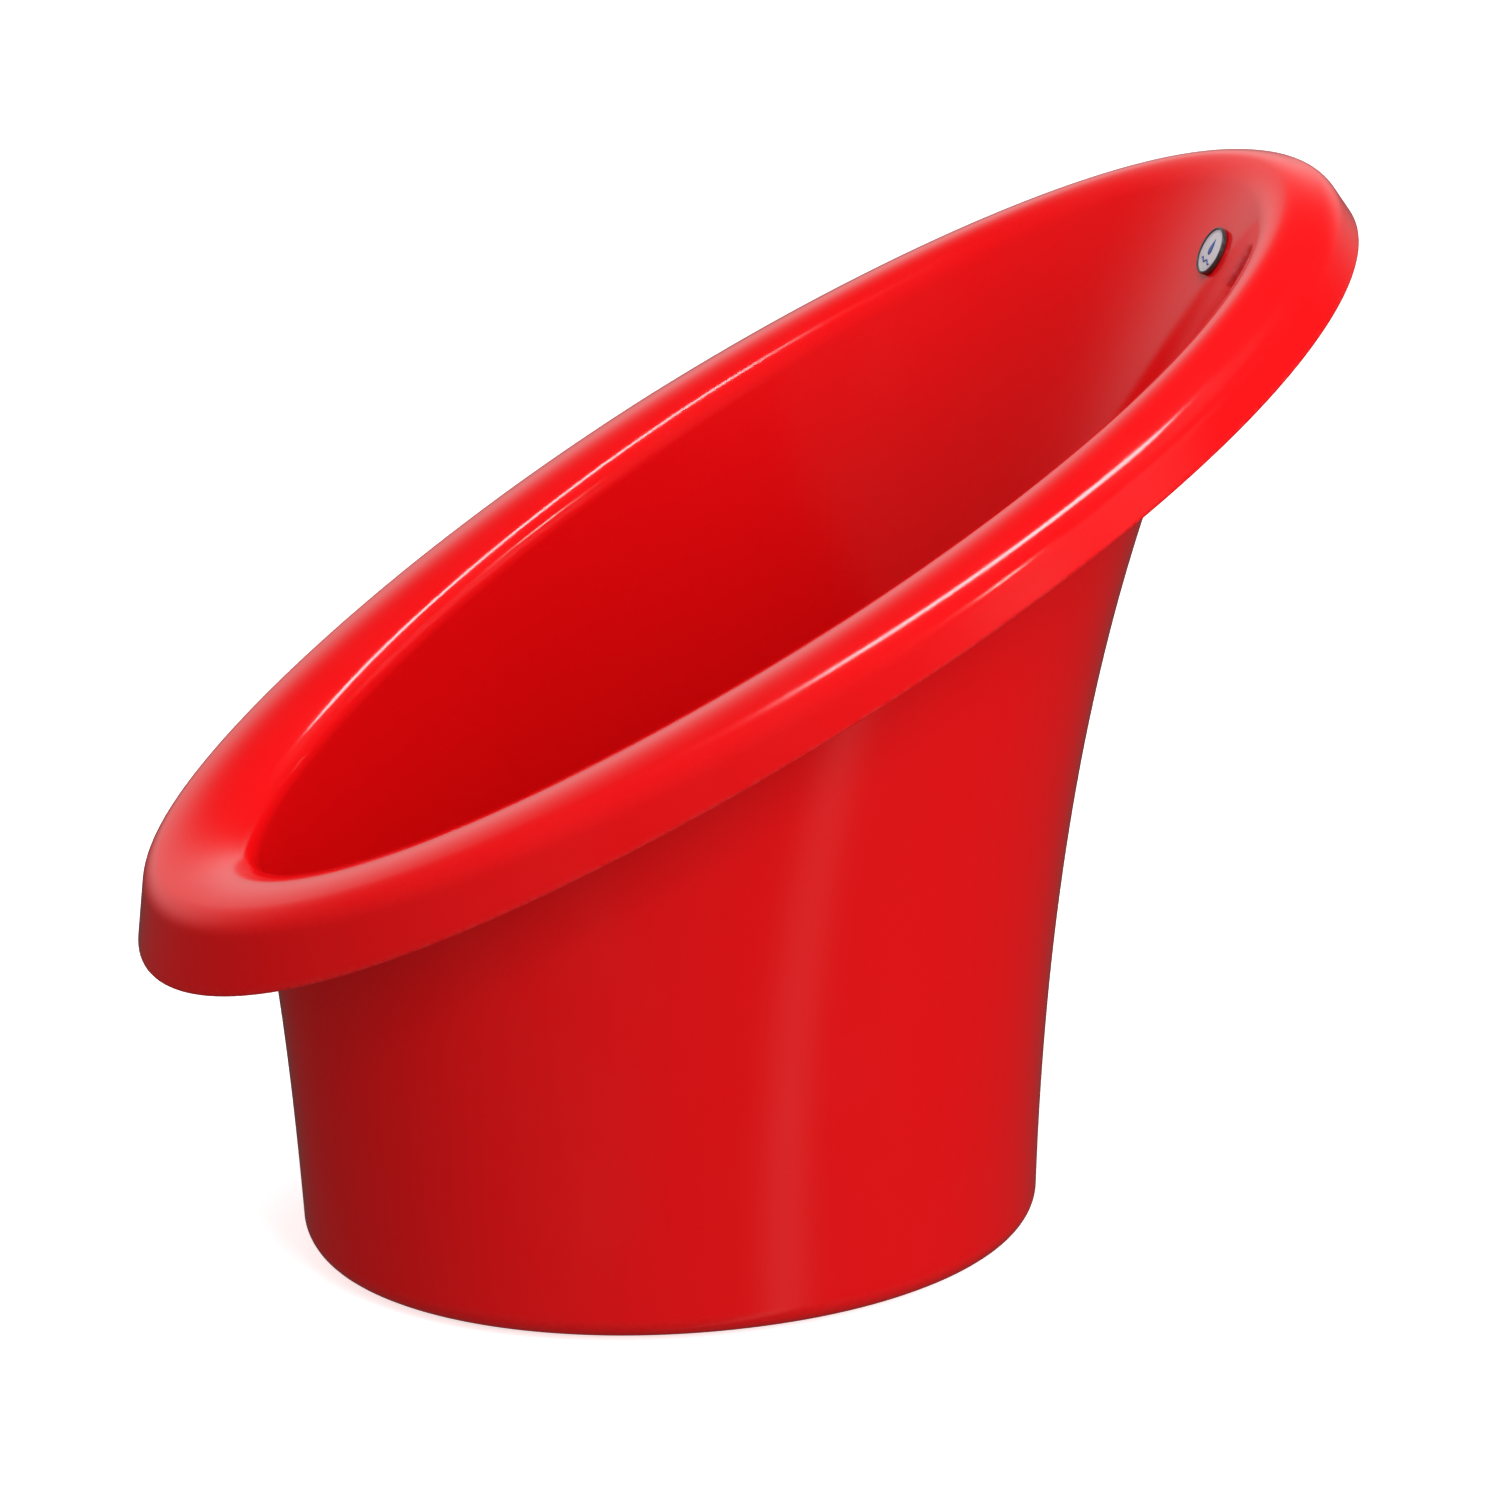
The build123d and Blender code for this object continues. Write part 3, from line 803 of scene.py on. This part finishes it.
    def _hem(self) -> None:
        """Inner face, rounded edge and outer face of the turned-down hem."""
        start = self._tilt(*self._polar(self.shoulder, self.shoulder_size, self.hem_turn),
                           self.bank)
        corner = self._tilt(*self.hem_start, self.bank)
        run = self._tilt(self.flare, -self.hem_drop, self.hem_tilt)
        length = (run[0] * run[0] + run[1] * run[1]).root()
        out = (-run[1] / length, run[0] / length)
        share = 1 - self.thick * 0.5 / length
        end = (corner[0] + share * run[0], corner[1] + share * run[1])
        inner_start = (start[0] - out[0] * self.thick, start[1] - out[1] * self.thick)
        inner_end = (end[0] - out[0] * self.thick, end[1] - out[1] * self.thick)
        middle = ((end[0] + inner_end[0]) * 0.5, (end[1] + inner_end[1]) * 0.5)
        facing = self.tree.arctan2(-out[1], -out[0])
        self._line(6, inner_start, inner_end, self._at_rim)
        self._arc(10, middle, self.thick * 0.5, facing, facing + pi, self._at_rim)
        self._line(8, start, end, self._at_rim)

    def _inner_side(self) -> None:
        """Wet face of the wall and the fillet down to the floor."""
        floor = self.under + self.thick
        self._wall(self.thick, floor + self.fillet, self.wall_rows)
        self._arc(12, (-self.thick - self.fillet, floor + self.fillet), self.fillet,
                  0.0, -pi / 2, self._at_base)

    def _circle(self, radius: float, height: float) -> tuple[Field, Field, Field]:
        """Point of a level circle about the drain."""
        level = self.tree.number(height)
        return self.turn.cos() * radius + self.drain_x, self.turn.sin() * radius, level

    def _between(self, rows: int, first: Sequence[Field], last: Sequence[Field]) -> None:
        """Add a ruled stretch between two closed lines."""
        along = self.tree.along
        self._sheet(rows, [a + (b - a) * along for a, b in zip(first, last)])

    def _floor_and_sump(self) -> None:
        """Floor's two faces, the sump's dish around the drain and the drain's hole."""
        top = self.floor_rise + self.sheet
        dish = top - self.sheet
        under = dish - self.sheet
        wide = self.sump_radius + self.sheet
        edge = self.sump_edge
        floor = self._at_base(-self.thick - self.fillet, self.under + self.thick)
        lines = [
            (14, floor, self._circle(self.sump_radius + edge, top)),
            (2, self._circle(self.sump_radius + edge, top),
             self._circle(self.sump_radius, top - edge)),
            (2, self._circle(self.sump_radius, top - edge), self._circle(self.sump_radius, dish)),
            (4, self._circle(self.sump_radius, dish), self._circle(self.drain_bore, dish)),
            (2, self._circle(self.drain_bore, dish), self._circle(self.drain_bore, under)),
            (4, self._circle(self.drain_bore, under), self._circle(wide - edge, under)),
            (1, self._circle(wide - edge, under), self._circle(wide, under + edge)),
            (2, self._circle(wide, under + edge), self._circle(wide, self.floor_rise)),
            (14, self._circle(wide, self.floor_rise), self._at_base(*self.skirt_start)),
        ]
        for rows, first, last in lines:
            self._between(rows, first, last)


# ------------------------------------------------------------------------------ feet
@dataclass(frozen=True)
class Feet:
    """Four rubber feet with ribbed soles, and the cups under the floor that hold them."""

    middle: float = -31.1
    length: float = 176.0
    width: float = 124.0
    stem: float = 11.0
    pad: float = 13.0
    pad_height: float = 4.0
    top: float = 12.0
    chamfer: float = 0.6
    cup_inner: float = 11.3
    cup_wall: float = 2.2
    cup_foot: float = 5.0
    cup_root: float = 12.6
    cup_flare: float = 1.0
    flare_start: float = 1.6
    rib_edges: tuple[float, ...] = (3.8, 6.4, 9.0, 11.6)
    rib_width: float = 1.5
    rib_draft: float = 0.25
    rib_depth: float = 0.8
    pad_round: float = 0.5
    neck_round: float = 0.6
    stem_round: float = 0.8

    def build_feet(self, finish: Rubber) -> bpy.types.Object:
        """Make one foot by turning its profile, and repeat it at the four corners."""
        tree = ShapeTree("rubber_feet")
        draft, soft, neck, crown = (self.rib_draft, self.pad_round, self.neck_round,
                                    self.stem_round)
        sole = []
        for outer in self.rib_edges:
            inner = outer - self.rib_width
            sole += [(inner, 0.0), (inner + draft, self.rib_depth),
                     (outer - draft, self.rib_depth), (outer, 0.0)]
        profile = [(0.0, 0.0), *sole, (self.pad - self.chamfer, 0.0),
                   (self.pad, self.chamfer),
                   *rounded((self.pad - soft, self.pad_height - soft), soft, 0, 90),
                   *rounded((self.stem + neck, self.pad_height + neck), neck, 270, 180),
                   *rounded((self.stem - crown, self.top - crown), crown, 0, 90),
                   (0.0, self.top)]
        turned(tree, profile, Place(), 72)
        tree.repeat_at_corners(tree.size("Middle", self.middle), tree.size("Length", self.length),
                               tree.size("Width", self.width))
        return tree.piece(finish.material())

    def build_cups(self, finish: GlossPlastic) -> bpy.types.Object:
        """Make the four cups, rooted in the floor's underside."""
        tree = ShapeTree("foot_cups")
        outer = self.cup_inner + self.cup_wall
        soft, flare = self.pad_round, self.cup_flare
        start = self.cup_root - self.flare_start
        profile = [(self.cup_inner, self.cup_root),
                   *rounded((self.cup_inner + soft, self.cup_foot + soft), soft, 180, 270),
                   *rounded((outer - soft, self.cup_foot + soft), soft, 270, 360),
                   (outer, start), *rounded((outer + flare, start), flare, 180, 90),
                   (outer + flare, self.cup_root), (self.cup_inner, self.cup_root)]
        turned(tree, profile, Place(), 72)
        tree.repeat_at_corners(tree.size("Middle", self.middle), tree.size("Length", self.length),
                               tree.size("Width", self.width))
        return tree.piece(finish.material())


# ------------------------------------------------------------------------------ medallion
@dataclass(frozen=True)
class Medallion:
    """Round medallion on the inside of the back: border, pale face, raised drop and wave."""

    place: Place = Place((193.8271, 0.0, 397.2759), (0.0, -1.0, 0.0), (0.45702, 0.0, 0.88946),
                         (-0.88946, 0.0, 0.45702))
    radius: float = 10.0
    thick: float = 1.6
    border: float = 0.95
    face_height: float = 1.0
    drop_height: float = 7.4
    drop_width: float = 2.6
    drop_rise: float = 1.6
    drop_power: float = 1.5
    relief: float = 0.45
    outer_round: float = 0.45
    inner_round: float = 0.2
    face_base: float = 0.45
    dome_share: float = 0.86
    dome_rise: float = 0.22
    dome_rings: int = 8
    groove: tuple[float, float, float] = (0.87, 0.89, 0.9)
    groove_depth: float = 0.15
    sink: float = 0.1
    drop_skirt: float = 0.22
    drop_centre: float = 0.18
    wave_relief: float = 0.28
    wave_base: float = 0.18
    wave_length: float = 9.6
    wave_swing: float = 0.55
    wave_thick: float = 0.5
    wave_low: float = -4.6
    waves: float = 2.0

    def build_border(self, finish: GlossPlastic) -> bpy.types.Object:
        """The dark rim, with the medallion's back."""
        tree = ShapeTree("medallion_border")
        inner = self.radius - self.border
        profile = [(0.0, 0.0), (self.radius, 0.0),
                   *rounded((self.radius - self.outer_round, self.thick - self.outer_round),
                            self.outer_round, 0, 90),
                   *rounded((inner + self.inner_round, self.thick - self.inner_round),
                            self.inner_round, 90, 180),
                   (inner, self.face_height * 0.5), (0.0, self.face_height * 0.5)]
        turned(tree, profile, self.place, 128)
        return tree.piece(finish.material())

    def build_face(self, finish: GlossPlastic) -> bpy.types.Object:
        """The pale face, slightly domed, with a fine groove around it."""
        tree = ShapeTree("medallion_face")
        edge = self.radius - self.border
        low, high = self.face_height * self.face_base, self.face_height
        shares = [1 - k / self.dome_rings for k in range(self.dome_rings + 1)]
        dome = [(edge * share * self.dome_share, high + self.dome_rise * (1 - share ** 2))
                for share in shares]
        inside, slope, outside = (edge * share for share in self.groove)
        floor = high - self.groove_depth
        profile = [(0.0, low), (edge, low), (edge, high), (outside, high), (slope, floor),
                   (inside, floor), *dome]
        turned(tree, profile, self.place, 128)
        return tree.piece(finish.material())

    def build_drop(self, finish: GlossPlastic) -> bpy.types.Object:
        """The raised water drop."""
        tree = ShapeTree("medallion_drop")
        turn = tree.across * tau
        half = (turn * 0.5).sin().signed_power(self.drop_power)
        width = tree.size("Drop width", self.drop_width)
        tall = tree.size("Drop height", self.drop_height)
        x = turn.sin() * half * width
        y = turn.cos() * (tall * 0.5) + self.drop_rise
        share = 1 - tree.along
        base = self.face_height - self.sink
        rise = (1 - share * share).root() * self.relief + (base + self.drop_skirt)
        centre = self.drop_rise - self.drop_height * self.drop_centre
        for height in (rise, tree.number(base)):
            tree.sheet(72, 12, tree.point(*self.place.point(
                x * share, (y - centre) * share + centre, height)))
        tree.sheet(72, 1, tree.point(*self.place.point(
            x, y, tree.along * self.drop_skirt + base)))
        return tree.piece(finish.material())

    def build_wave(self, finish: GlossPlastic) -> bpy.types.Object:
        """The raised wave line under the drop."""
        tree = ShapeTree("medallion_wave")
        turn = tree.across * tau
        along = (tree.along - 0.5) * 2
        end = (1 - along * along * along * along * along * along).root()
        x = along * (tree.size("Wave length", self.wave_length) * 0.5)
        y = ((along * (pi * self.waves)).sin() * tree.size("Wave swing", self.wave_swing)
             + turn.sin() * end * self.wave_thick + self.wave_low)
        height = turn.cos() * end * self.wave_relief + (self.face_height + self.wave_base)
        tree.sheet(20, 80, tree.point(*self.place.point(x, y, height)))
        return tree.piece(finish.material())


# ------------------------------------------------------------------------------ drain
@dataclass(frozen=True)
class Drain:
    """Drain fittings around the hole in the sump."""

    x: float = -100.0
    spigot: float = 20.0
    seat: float = 14.5
    flange: float = 30.0
    flange_low: float = 13.2
    flange_high: float = 15.0
    spigot_end: float = 3.5
    thread_pitch: float = 1.5
    thread_depth: float = 0.55
    thread_start: float = 0.5
    gap: float = 0.02
    spigot_chamfer: float = 0.6
    flange_round: float = 0.6
    flange_under_round: float = 0.3
    seat_round: float = 0.8
    ring_groove: tuple[float, ...] = (2.6, 2.8, 3.4, 3.6)
    groove_depth: float = 0.25
    strainer_bar: float = 2.0
    strainer_depth: float = 2.5
    strainer_turns: tuple[float, float] = (45.0, 135.0)
    strainer_root: float = 1.0
    nut: float = 25.0
    nut_high: float = 8.0
    nut_low: float = 4.0
    nut_round: float = 0.5
    nut_clearance: float = 0.05
    bore_chamfer: float = 0.4
    lug: float = 3.0
    lug_round: float = 0.4
    lugs: int = 6
    softened: float = 0.25

    def _place(self) -> Place:
        """The drain's upright axis."""
        return Place((self.x, 0.0, 0.0))

    def build_flange(self, finish: SatinPlastic) -> bpy.types.Object:
        """Flange, threaded spigot and strainer."""
        tree = ShapeTree("drain_flange_body")
        thread, height = [], self.spigot_end + self.thread_start
        crest = self.spigot - self.gap
        while height < self.flange_low - self.thread_pitch - self.thread_start:
            thread += [(self.spigot - self.thread_depth, height),
                       (crest, height + self.thread_pitch * 0.5)]
            height += self.thread_pitch
        edge, top, low = self.flange, self.flange_high, self.flange_low
        soft, under, mouth = self.flange_round, self.flange_under_round, self.seat_round
        groove = [(edge - back, top - drop) for back, drop in
                  zip(self.ring_groove, (0.0, self.groove_depth, self.groove_depth, 0.0))]
        profile = [(self.seat, top - mouth), (self.seat, self.spigot_end),
                   (self.spigot - self.spigot_chamfer, self.spigot_end), *thread,
                   (crest, height), (crest, low),
                   *rounded((edge - under, low + under), under, 270, 360),
                   *rounded((edge - soft, top - soft), soft, 0, 90), *groove,
                   *rounded((self.seat + mouth, top - mouth), mouth, 90, 180)]
        turned(tree, profile, self._place(), 120)
        middle, half = self.seat / 2, self.strainer_bar / 2
        low, high = self.spigot_end, self.spigot_end + self.strainer_depth
        ring = [(middle - half, low), (middle + half, low), (middle + half, high),
                (middle - half, high), (middle - half, low)]
        turned(tree, ring, self._place(), 60)
        length = 2 * (self.seat + self.strainer_root)
        for angle in self.strainer_turns:
            bar = tree.node("GeometryNodeMeshCube")
            bar.inputs["Size"].default_value = (length * MM, self.strainer_bar * MM,
                                                self.strainer_depth * MM)
            moved = tree.node("GeometryNodeTransform", Geometry=bar.outputs["Mesh"])
            moved.inputs["Translation"].default_value = (self.x * MM, 0.0, (low + high) / 2 * MM)
            moved.inputs["Rotation"].default_value = (0.0, 0.0, radians(angle))
            tree.parts.append(moved.outputs[0])
        return tree.piece(finish.material())

    def build_nut(self, finish: SatinPlastic) -> bpy.types.Object:
        """Ring nut whose lugs repeat around it."""
        tree = ShapeTree("drain_nut_body")
        soft, low, high = self.lug_round, self.nut_low + self.gap, self.nut_high - self.gap
        lug = [(0.0, low), *rounded((self.lug - soft, low + soft), soft, 270, 360),
               *rounded((self.lug - soft, high - soft), soft, 0, 90), (0.0, high)]
        turned(tree, lug, Place(), 32)
        tree.repeat_around(self.x, self.nut, self.lugs)
        bore, cut, soft = self.spigot + self.nut_clearance, self.bore_chamfer, self.nut_round
        low, high = self.nut_low, self.nut_high
        ring = [(bore, low + cut), (bore + cut, low),
                *rounded((self.nut - soft, low + soft), soft, 270, 360),
                *rounded((self.nut - soft, high - soft), soft, 0, 90),
                (bore + cut, high), (bore, high - cut), (bore, low + cut)]
        turned(tree, ring, self._place(), 96)
        return tree.piece(finish.material())

    def build_ring(self, name: str, finish: "Rubber | SatinPlastic", inner: float, outer: float,
                   low: float, high: float) -> bpy.types.Object:
        """A flat sealing ring with softened edges."""
        tree = ShapeTree(name)
        soft = (high - low) * self.softened
        profile = [(inner, low + soft), (inner + soft, low), (outer - soft, low),
                   (outer, low + soft), (outer, high - soft), (outer - soft, high),
                   (inner + soft, high), (inner, high - soft), (inner, low + soft)]
        turned(tree, profile, self._place(), 96)
        return tree.piece(finish.material())


def dress(node: str, body: Body, material: bpy.types.Material) -> None:
    """Give a CAD node a finish in place of its plain one.

    Args:
        node: Name of the node, whose own mesh stays as it is.
        body: Body that it moves with.
        material: Its finish.
    """
    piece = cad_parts[node]
    piece.data.materials.clear()
    piece.data.materials.append(material)
    LOG.info("%s stays on %s in %s", node, body.value, material.name)


# ------------------------------------------------------------------------------ studio
@dataclass(frozen=True)
class Softbox:
    """One rectangular studio light, seen in reflections or kept out of them."""

    name: str
    place: tuple[float, float, float]
    aim: tuple[float, float, float]
    size: tuple[float, float]
    glow: float
    colour: tuple[float, float, float] = (1.0, 1.0, 1.0)
    mirrored: bool = True

    def build(self) -> None:
        """Hang the light and turn it to its aim; glow is the brightness of its face."""
        data = bpy.data.lights.new(self.name, "AREA")
        data.shape = "RECTANGLE"
        data.size, data.size_y = self.size
        data.energy = self.glow * pi * self.size[0] * self.size[1]
        data.color = self.colour
        lamp = bpy.data.objects.new(self.name, data)
        lamp.location = self.place
        direction = Vector(self.aim) - Vector(self.place)
        lamp.rotation_euler = direction.to_track_quat("-Z", "Y").to_euler()
        lamp.visible_glossy = self.mirrored
        bpy.context.scene.collection.objects.link(lamp)


@dataclass(frozen=True)
class Studio:
    """Pale floor, even surroundings, softboxes and the camera."""

    azimuth: float = radians(-14.11)
    elevation: float = radians(20.37)
    distance: float = 2.645
    target: tuple[float, float, float] = (0.0027, 0.0, 0.2029)
    roll: float = radians(-0.175)
    lens: float = 157.6
    floor_size: float = 30.0
    floor_glow: float = 0.7
    backdrop: float = 1.1
    ambient: float = 0.45
    mirrored_ambient: float = 0.05
    back_glow: float = 0.8
    streak_glow: float = 0.4
    streak_azimuth: float = radians(25.0)
    streak_width: float = radians(6.0)
    streak_height: tuple[float, float] = (-0.6, 0.35)
    back_depth: tuple[float, float] = (1.0, 0.45)
    back_height: tuple[float, float] = (0.25, 0.3)
    sensor: float = 36.0

    def build(self) -> None:
        """Set up the floor, the lights, the surroundings and the camera."""
        self._floor()
        self._surroundings()
        self._lights()
        self._camera()

    def _floor(self) -> None:
        """A wide pale floor with a barely visible mottle."""
        mesh = bpy.data.meshes.new("studio_floor")
        half = self.floor_size / 2
        corners = [(-half, -half, 0), (half, -half, 0), (half, half, 0), (-half, half, 0)]
        mesh.from_pydata(corners, [], [(0, 1, 2, 3)])
        look = Shading("studio_floor_paper")
        mottle = look.span(look.noise(3.0, 4.0), 0.3, 0.7)
        look.feed(look.shader.inputs["Base Color"],
                  look.blend(mottle, (0.9, 0.9, 0.9), (0.93, 0.93, 0.93)))
        look.shader.inputs["Roughness"].default_value = 0.9
        look.shader.inputs["Specular IOR Level"].default_value = 0.1
        look.shader.inputs["Emission Color"].default_value = (1.0, 1.0, 1.0, 1.0)
        look.shader.inputs["Emission Strength"].default_value = self.floor_glow
        mesh.materials.append(look.material)
        floor = bpy.data.objects.new("studio_floor", mesh)
        floor.visible_glossy = False
        floor.visible_diffuse = False
        bpy.context.scene.collection.objects.link(floor)

    def _surroundings(self) -> None:
        """Even pale surroundings; reflections see a dimmer room with two soft glows."""
        world = bpy.data.worlds.new("studio_room")
        world.use_nodes = True
        tree = world.node_tree

        def math(operation: str, *values: object) -> bpy.types.NodeSocket:
            """Add a Math node to the room."""
            made = tree.nodes.new("ShaderNodeMath")
            made.operation = operation
            for socket, value in zip(made.inputs, values):
                if isinstance(value, bpy.types.NodeSocket):
                    tree.links.new(value, socket)
                else:
                    socket.default_value = value
            return made.outputs[0]

        def lobe(value: object, middle: float, width: float) -> bpy.types.NodeSocket:
            """A soft bump of height one around a middle."""
            off = math("DIVIDE", math("SUBTRACT", value, middle), width)
            return math("EXPONENT", math("MULTIPLY", math("MULTIPLY", off, off), -1.0))

        direction = tree.nodes.new("ShaderNodeSeparateXYZ")
        tree.links.new(tree.nodes.new("ShaderNodeTexCoord").outputs["Generated"],
                       direction.inputs[0])
        x, y, z = direction.outputs
        azimuth = math("ARCTAN2", x, math("MULTIPLY", y, -1.0))
        streak = math("MULTIPLY", lobe(azimuth, self.streak_azimuth, self.streak_width),
                      lobe(z, *self.streak_height))
        back = math("MULTIPLY", lobe(y, *self.back_depth), lobe(z, *self.back_height))
        glow = math("ADD", math("MULTIPLY", streak, self.streak_glow),
                    math("MULTIPLY", back, self.back_glow))
        room = math("ADD", glow, self.mirrored_ambient)
        path = tree.nodes.new("ShaderNodeLightPath").outputs
        other = math("SUBTRACT", math("SUBTRACT", 1.0, path["Is Glossy Ray"]),
                     path["Is Camera Ray"])
        shares = ((path["Is Glossy Ray"], room), (path["Is Camera Ray"], self.backdrop),
                  (other, self.ambient))
        strength = 0.0
        for share, level in shares:
            strength = math("ADD", strength, math("MULTIPLY", share, level))
        sky = next(n for n in tree.nodes if n.type == "BACKGROUND")
        sky.inputs["Color"].default_value = (1.0, 1.0, 1.0, 1.0)
        tree.links.new(strength, sky.inputs["Strength"])
        bpy.context.scene.world = world

    def _lights(self) -> None:
        """Softboxes over and in front of the tub, a broad key from the right and a fill."""
        middle = (0.0, 0.0, 0.25)
        boxes = [
            Softbox("overhead_strip", (-0.40, 0.08, 1.95), middle, (0.24, 0.98), 18.0,
                    (1.0, 0.93, 0.97)),
            Softbox("front_box", (0.0, -1.7, 1.85), middle, (0.16, 0.22), 22.0, (1.0, 0.86, 0.76)),
            Softbox("broad_key", (1.2, -2.5, 1.85), middle, (2.0, 2.0), 6.0, mirrored=False),
            Softbox("overhead_fill", (0.5, -0.3, 2.6), middle, (1.2, 1.2), 2.8, mirrored=False),
        ]
        for box in boxes:
            box.build()

    def _camera(self) -> None:
        """The camera, looking at the target from the azimuth and elevation."""
        back = Vector((sin(self.azimuth) * cos(self.elevation),
                       -cos(self.azimuth) * cos(self.elevation), sin(self.elevation)))
        data = bpy.data.cameras.new("camera")
        data.lens = self.lens
        data.sensor_width = self.sensor
        data.clip_start, data.clip_end = 0.05, 100.0
        camera = bpy.data.objects.new("camera", data)
        turn = (-back).to_track_quat("-Z", "Y").to_matrix().to_4x4()
        place = Matrix.Translation(Vector(self.target) + back * self.distance)
        camera.matrix_world = place @ turn @ Matrix.Rotation(self.roll, 4, "Z")
        bpy.context.scene.collection.objects.link(camera)
        bpy.context.scene.camera = camera
        settings = bpy.context.scene.view_settings
        settings.view_transform = "Standard"
        settings.look = "None"


def put(piece: bpy.types.Object, body: Body, slot: str, *nodes: str) -> None:
    """Make a piece ride on a body and stand for CAD nodes."""
    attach(piece, body.value)
    if nodes:
        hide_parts(*nodes)
    LOG.info("%s rides on %s: %d faces", piece.name, body.value, len(piece.data.polygons))


def main() -> None:
    """Build every sub-assembly in order and report each piece."""
    logging.basicConfig(level=logging.INFO, format="%(name)s: %(message)s")
    red = GlossPlastic("tub_gloss_red", (0.75, 0.004, 0.006), (0.70, 0.0035, 0.005))
    ink = GlossPlastic("medallion_ink", (0.03, 0.11, 0.33), (0.025, 0.09, 0.28))
    white = SatinPlastic("drain_satin_white", (0.80, 0.80, 0.77))
    put(TubShell().build(red), Body.TUB, "tub_red", "tub_shell")
    feet = Feet()
    put(feet.build_cups(red), Body.TUB, "tub_red")
    put(feet.build_feet(Rubber("foot_rubber_black", (0.045, 0.045, 0.047), (0.13, 0.125, 0.12))),
        Body.TUB, "foot_rubber", "foot_front_left", "foot_front_right", "foot_back_left",
        "foot_back_right")
    medallion = Medallion()
    put(medallion.build_border(GlossPlastic("medallion_dark", (0.05, 0.055, 0.06),
                                            (0.035, 0.038, 0.042))),
        Body.TUB, "medallion", "medallion")
    put(medallion.build_face(GlossPlastic("medallion_pale", (0.62, 0.60, 0.63),
                                          (0.55, 0.53, 0.57))), Body.TUB, "medallion")
    put(medallion.build_drop(ink), Body.TUB, "medallion")
    put(medallion.build_wave(ink), Body.TUB, "medallion")
    drain = Drain()
    put(drain.build_flange(white), Body.TUB, "drain_white", "drain_flange")
    put(drain.build_nut(white), Body.TUB, "drain_white", "drain_nut")
    put(drain.build_ring("drain_gasket_ring",
                         Rubber("seal_rubber_black", (0.02, 0.02, 0.022), (0.06, 0.06, 0.06)),
                         20.5, 30.0, 12.0, 13.2), Body.TUB, "seal_rubber", "drain_gasket")
    put(drain.build_ring("drain_washer_ring", SatinPlastic("washer_grey", (0.55, 0.56, 0.54)),
                         20.4, 27.0, 8.0, 9.0), Body.TUB, "washer", "drain_washer")
    dress("drain_plug", Body.PLUG,
          Rubber("plug_silicone", (0.60, 0.61, 0.62), (0.5, 0.5, 0.5), 0.5).material())
    dress("plug_ring", Body.RING, Steel("ring_wire_steel", (0.66, 0.66, 0.65)).material())
    Studio().build()


if __name__ == "__main__":
    main()
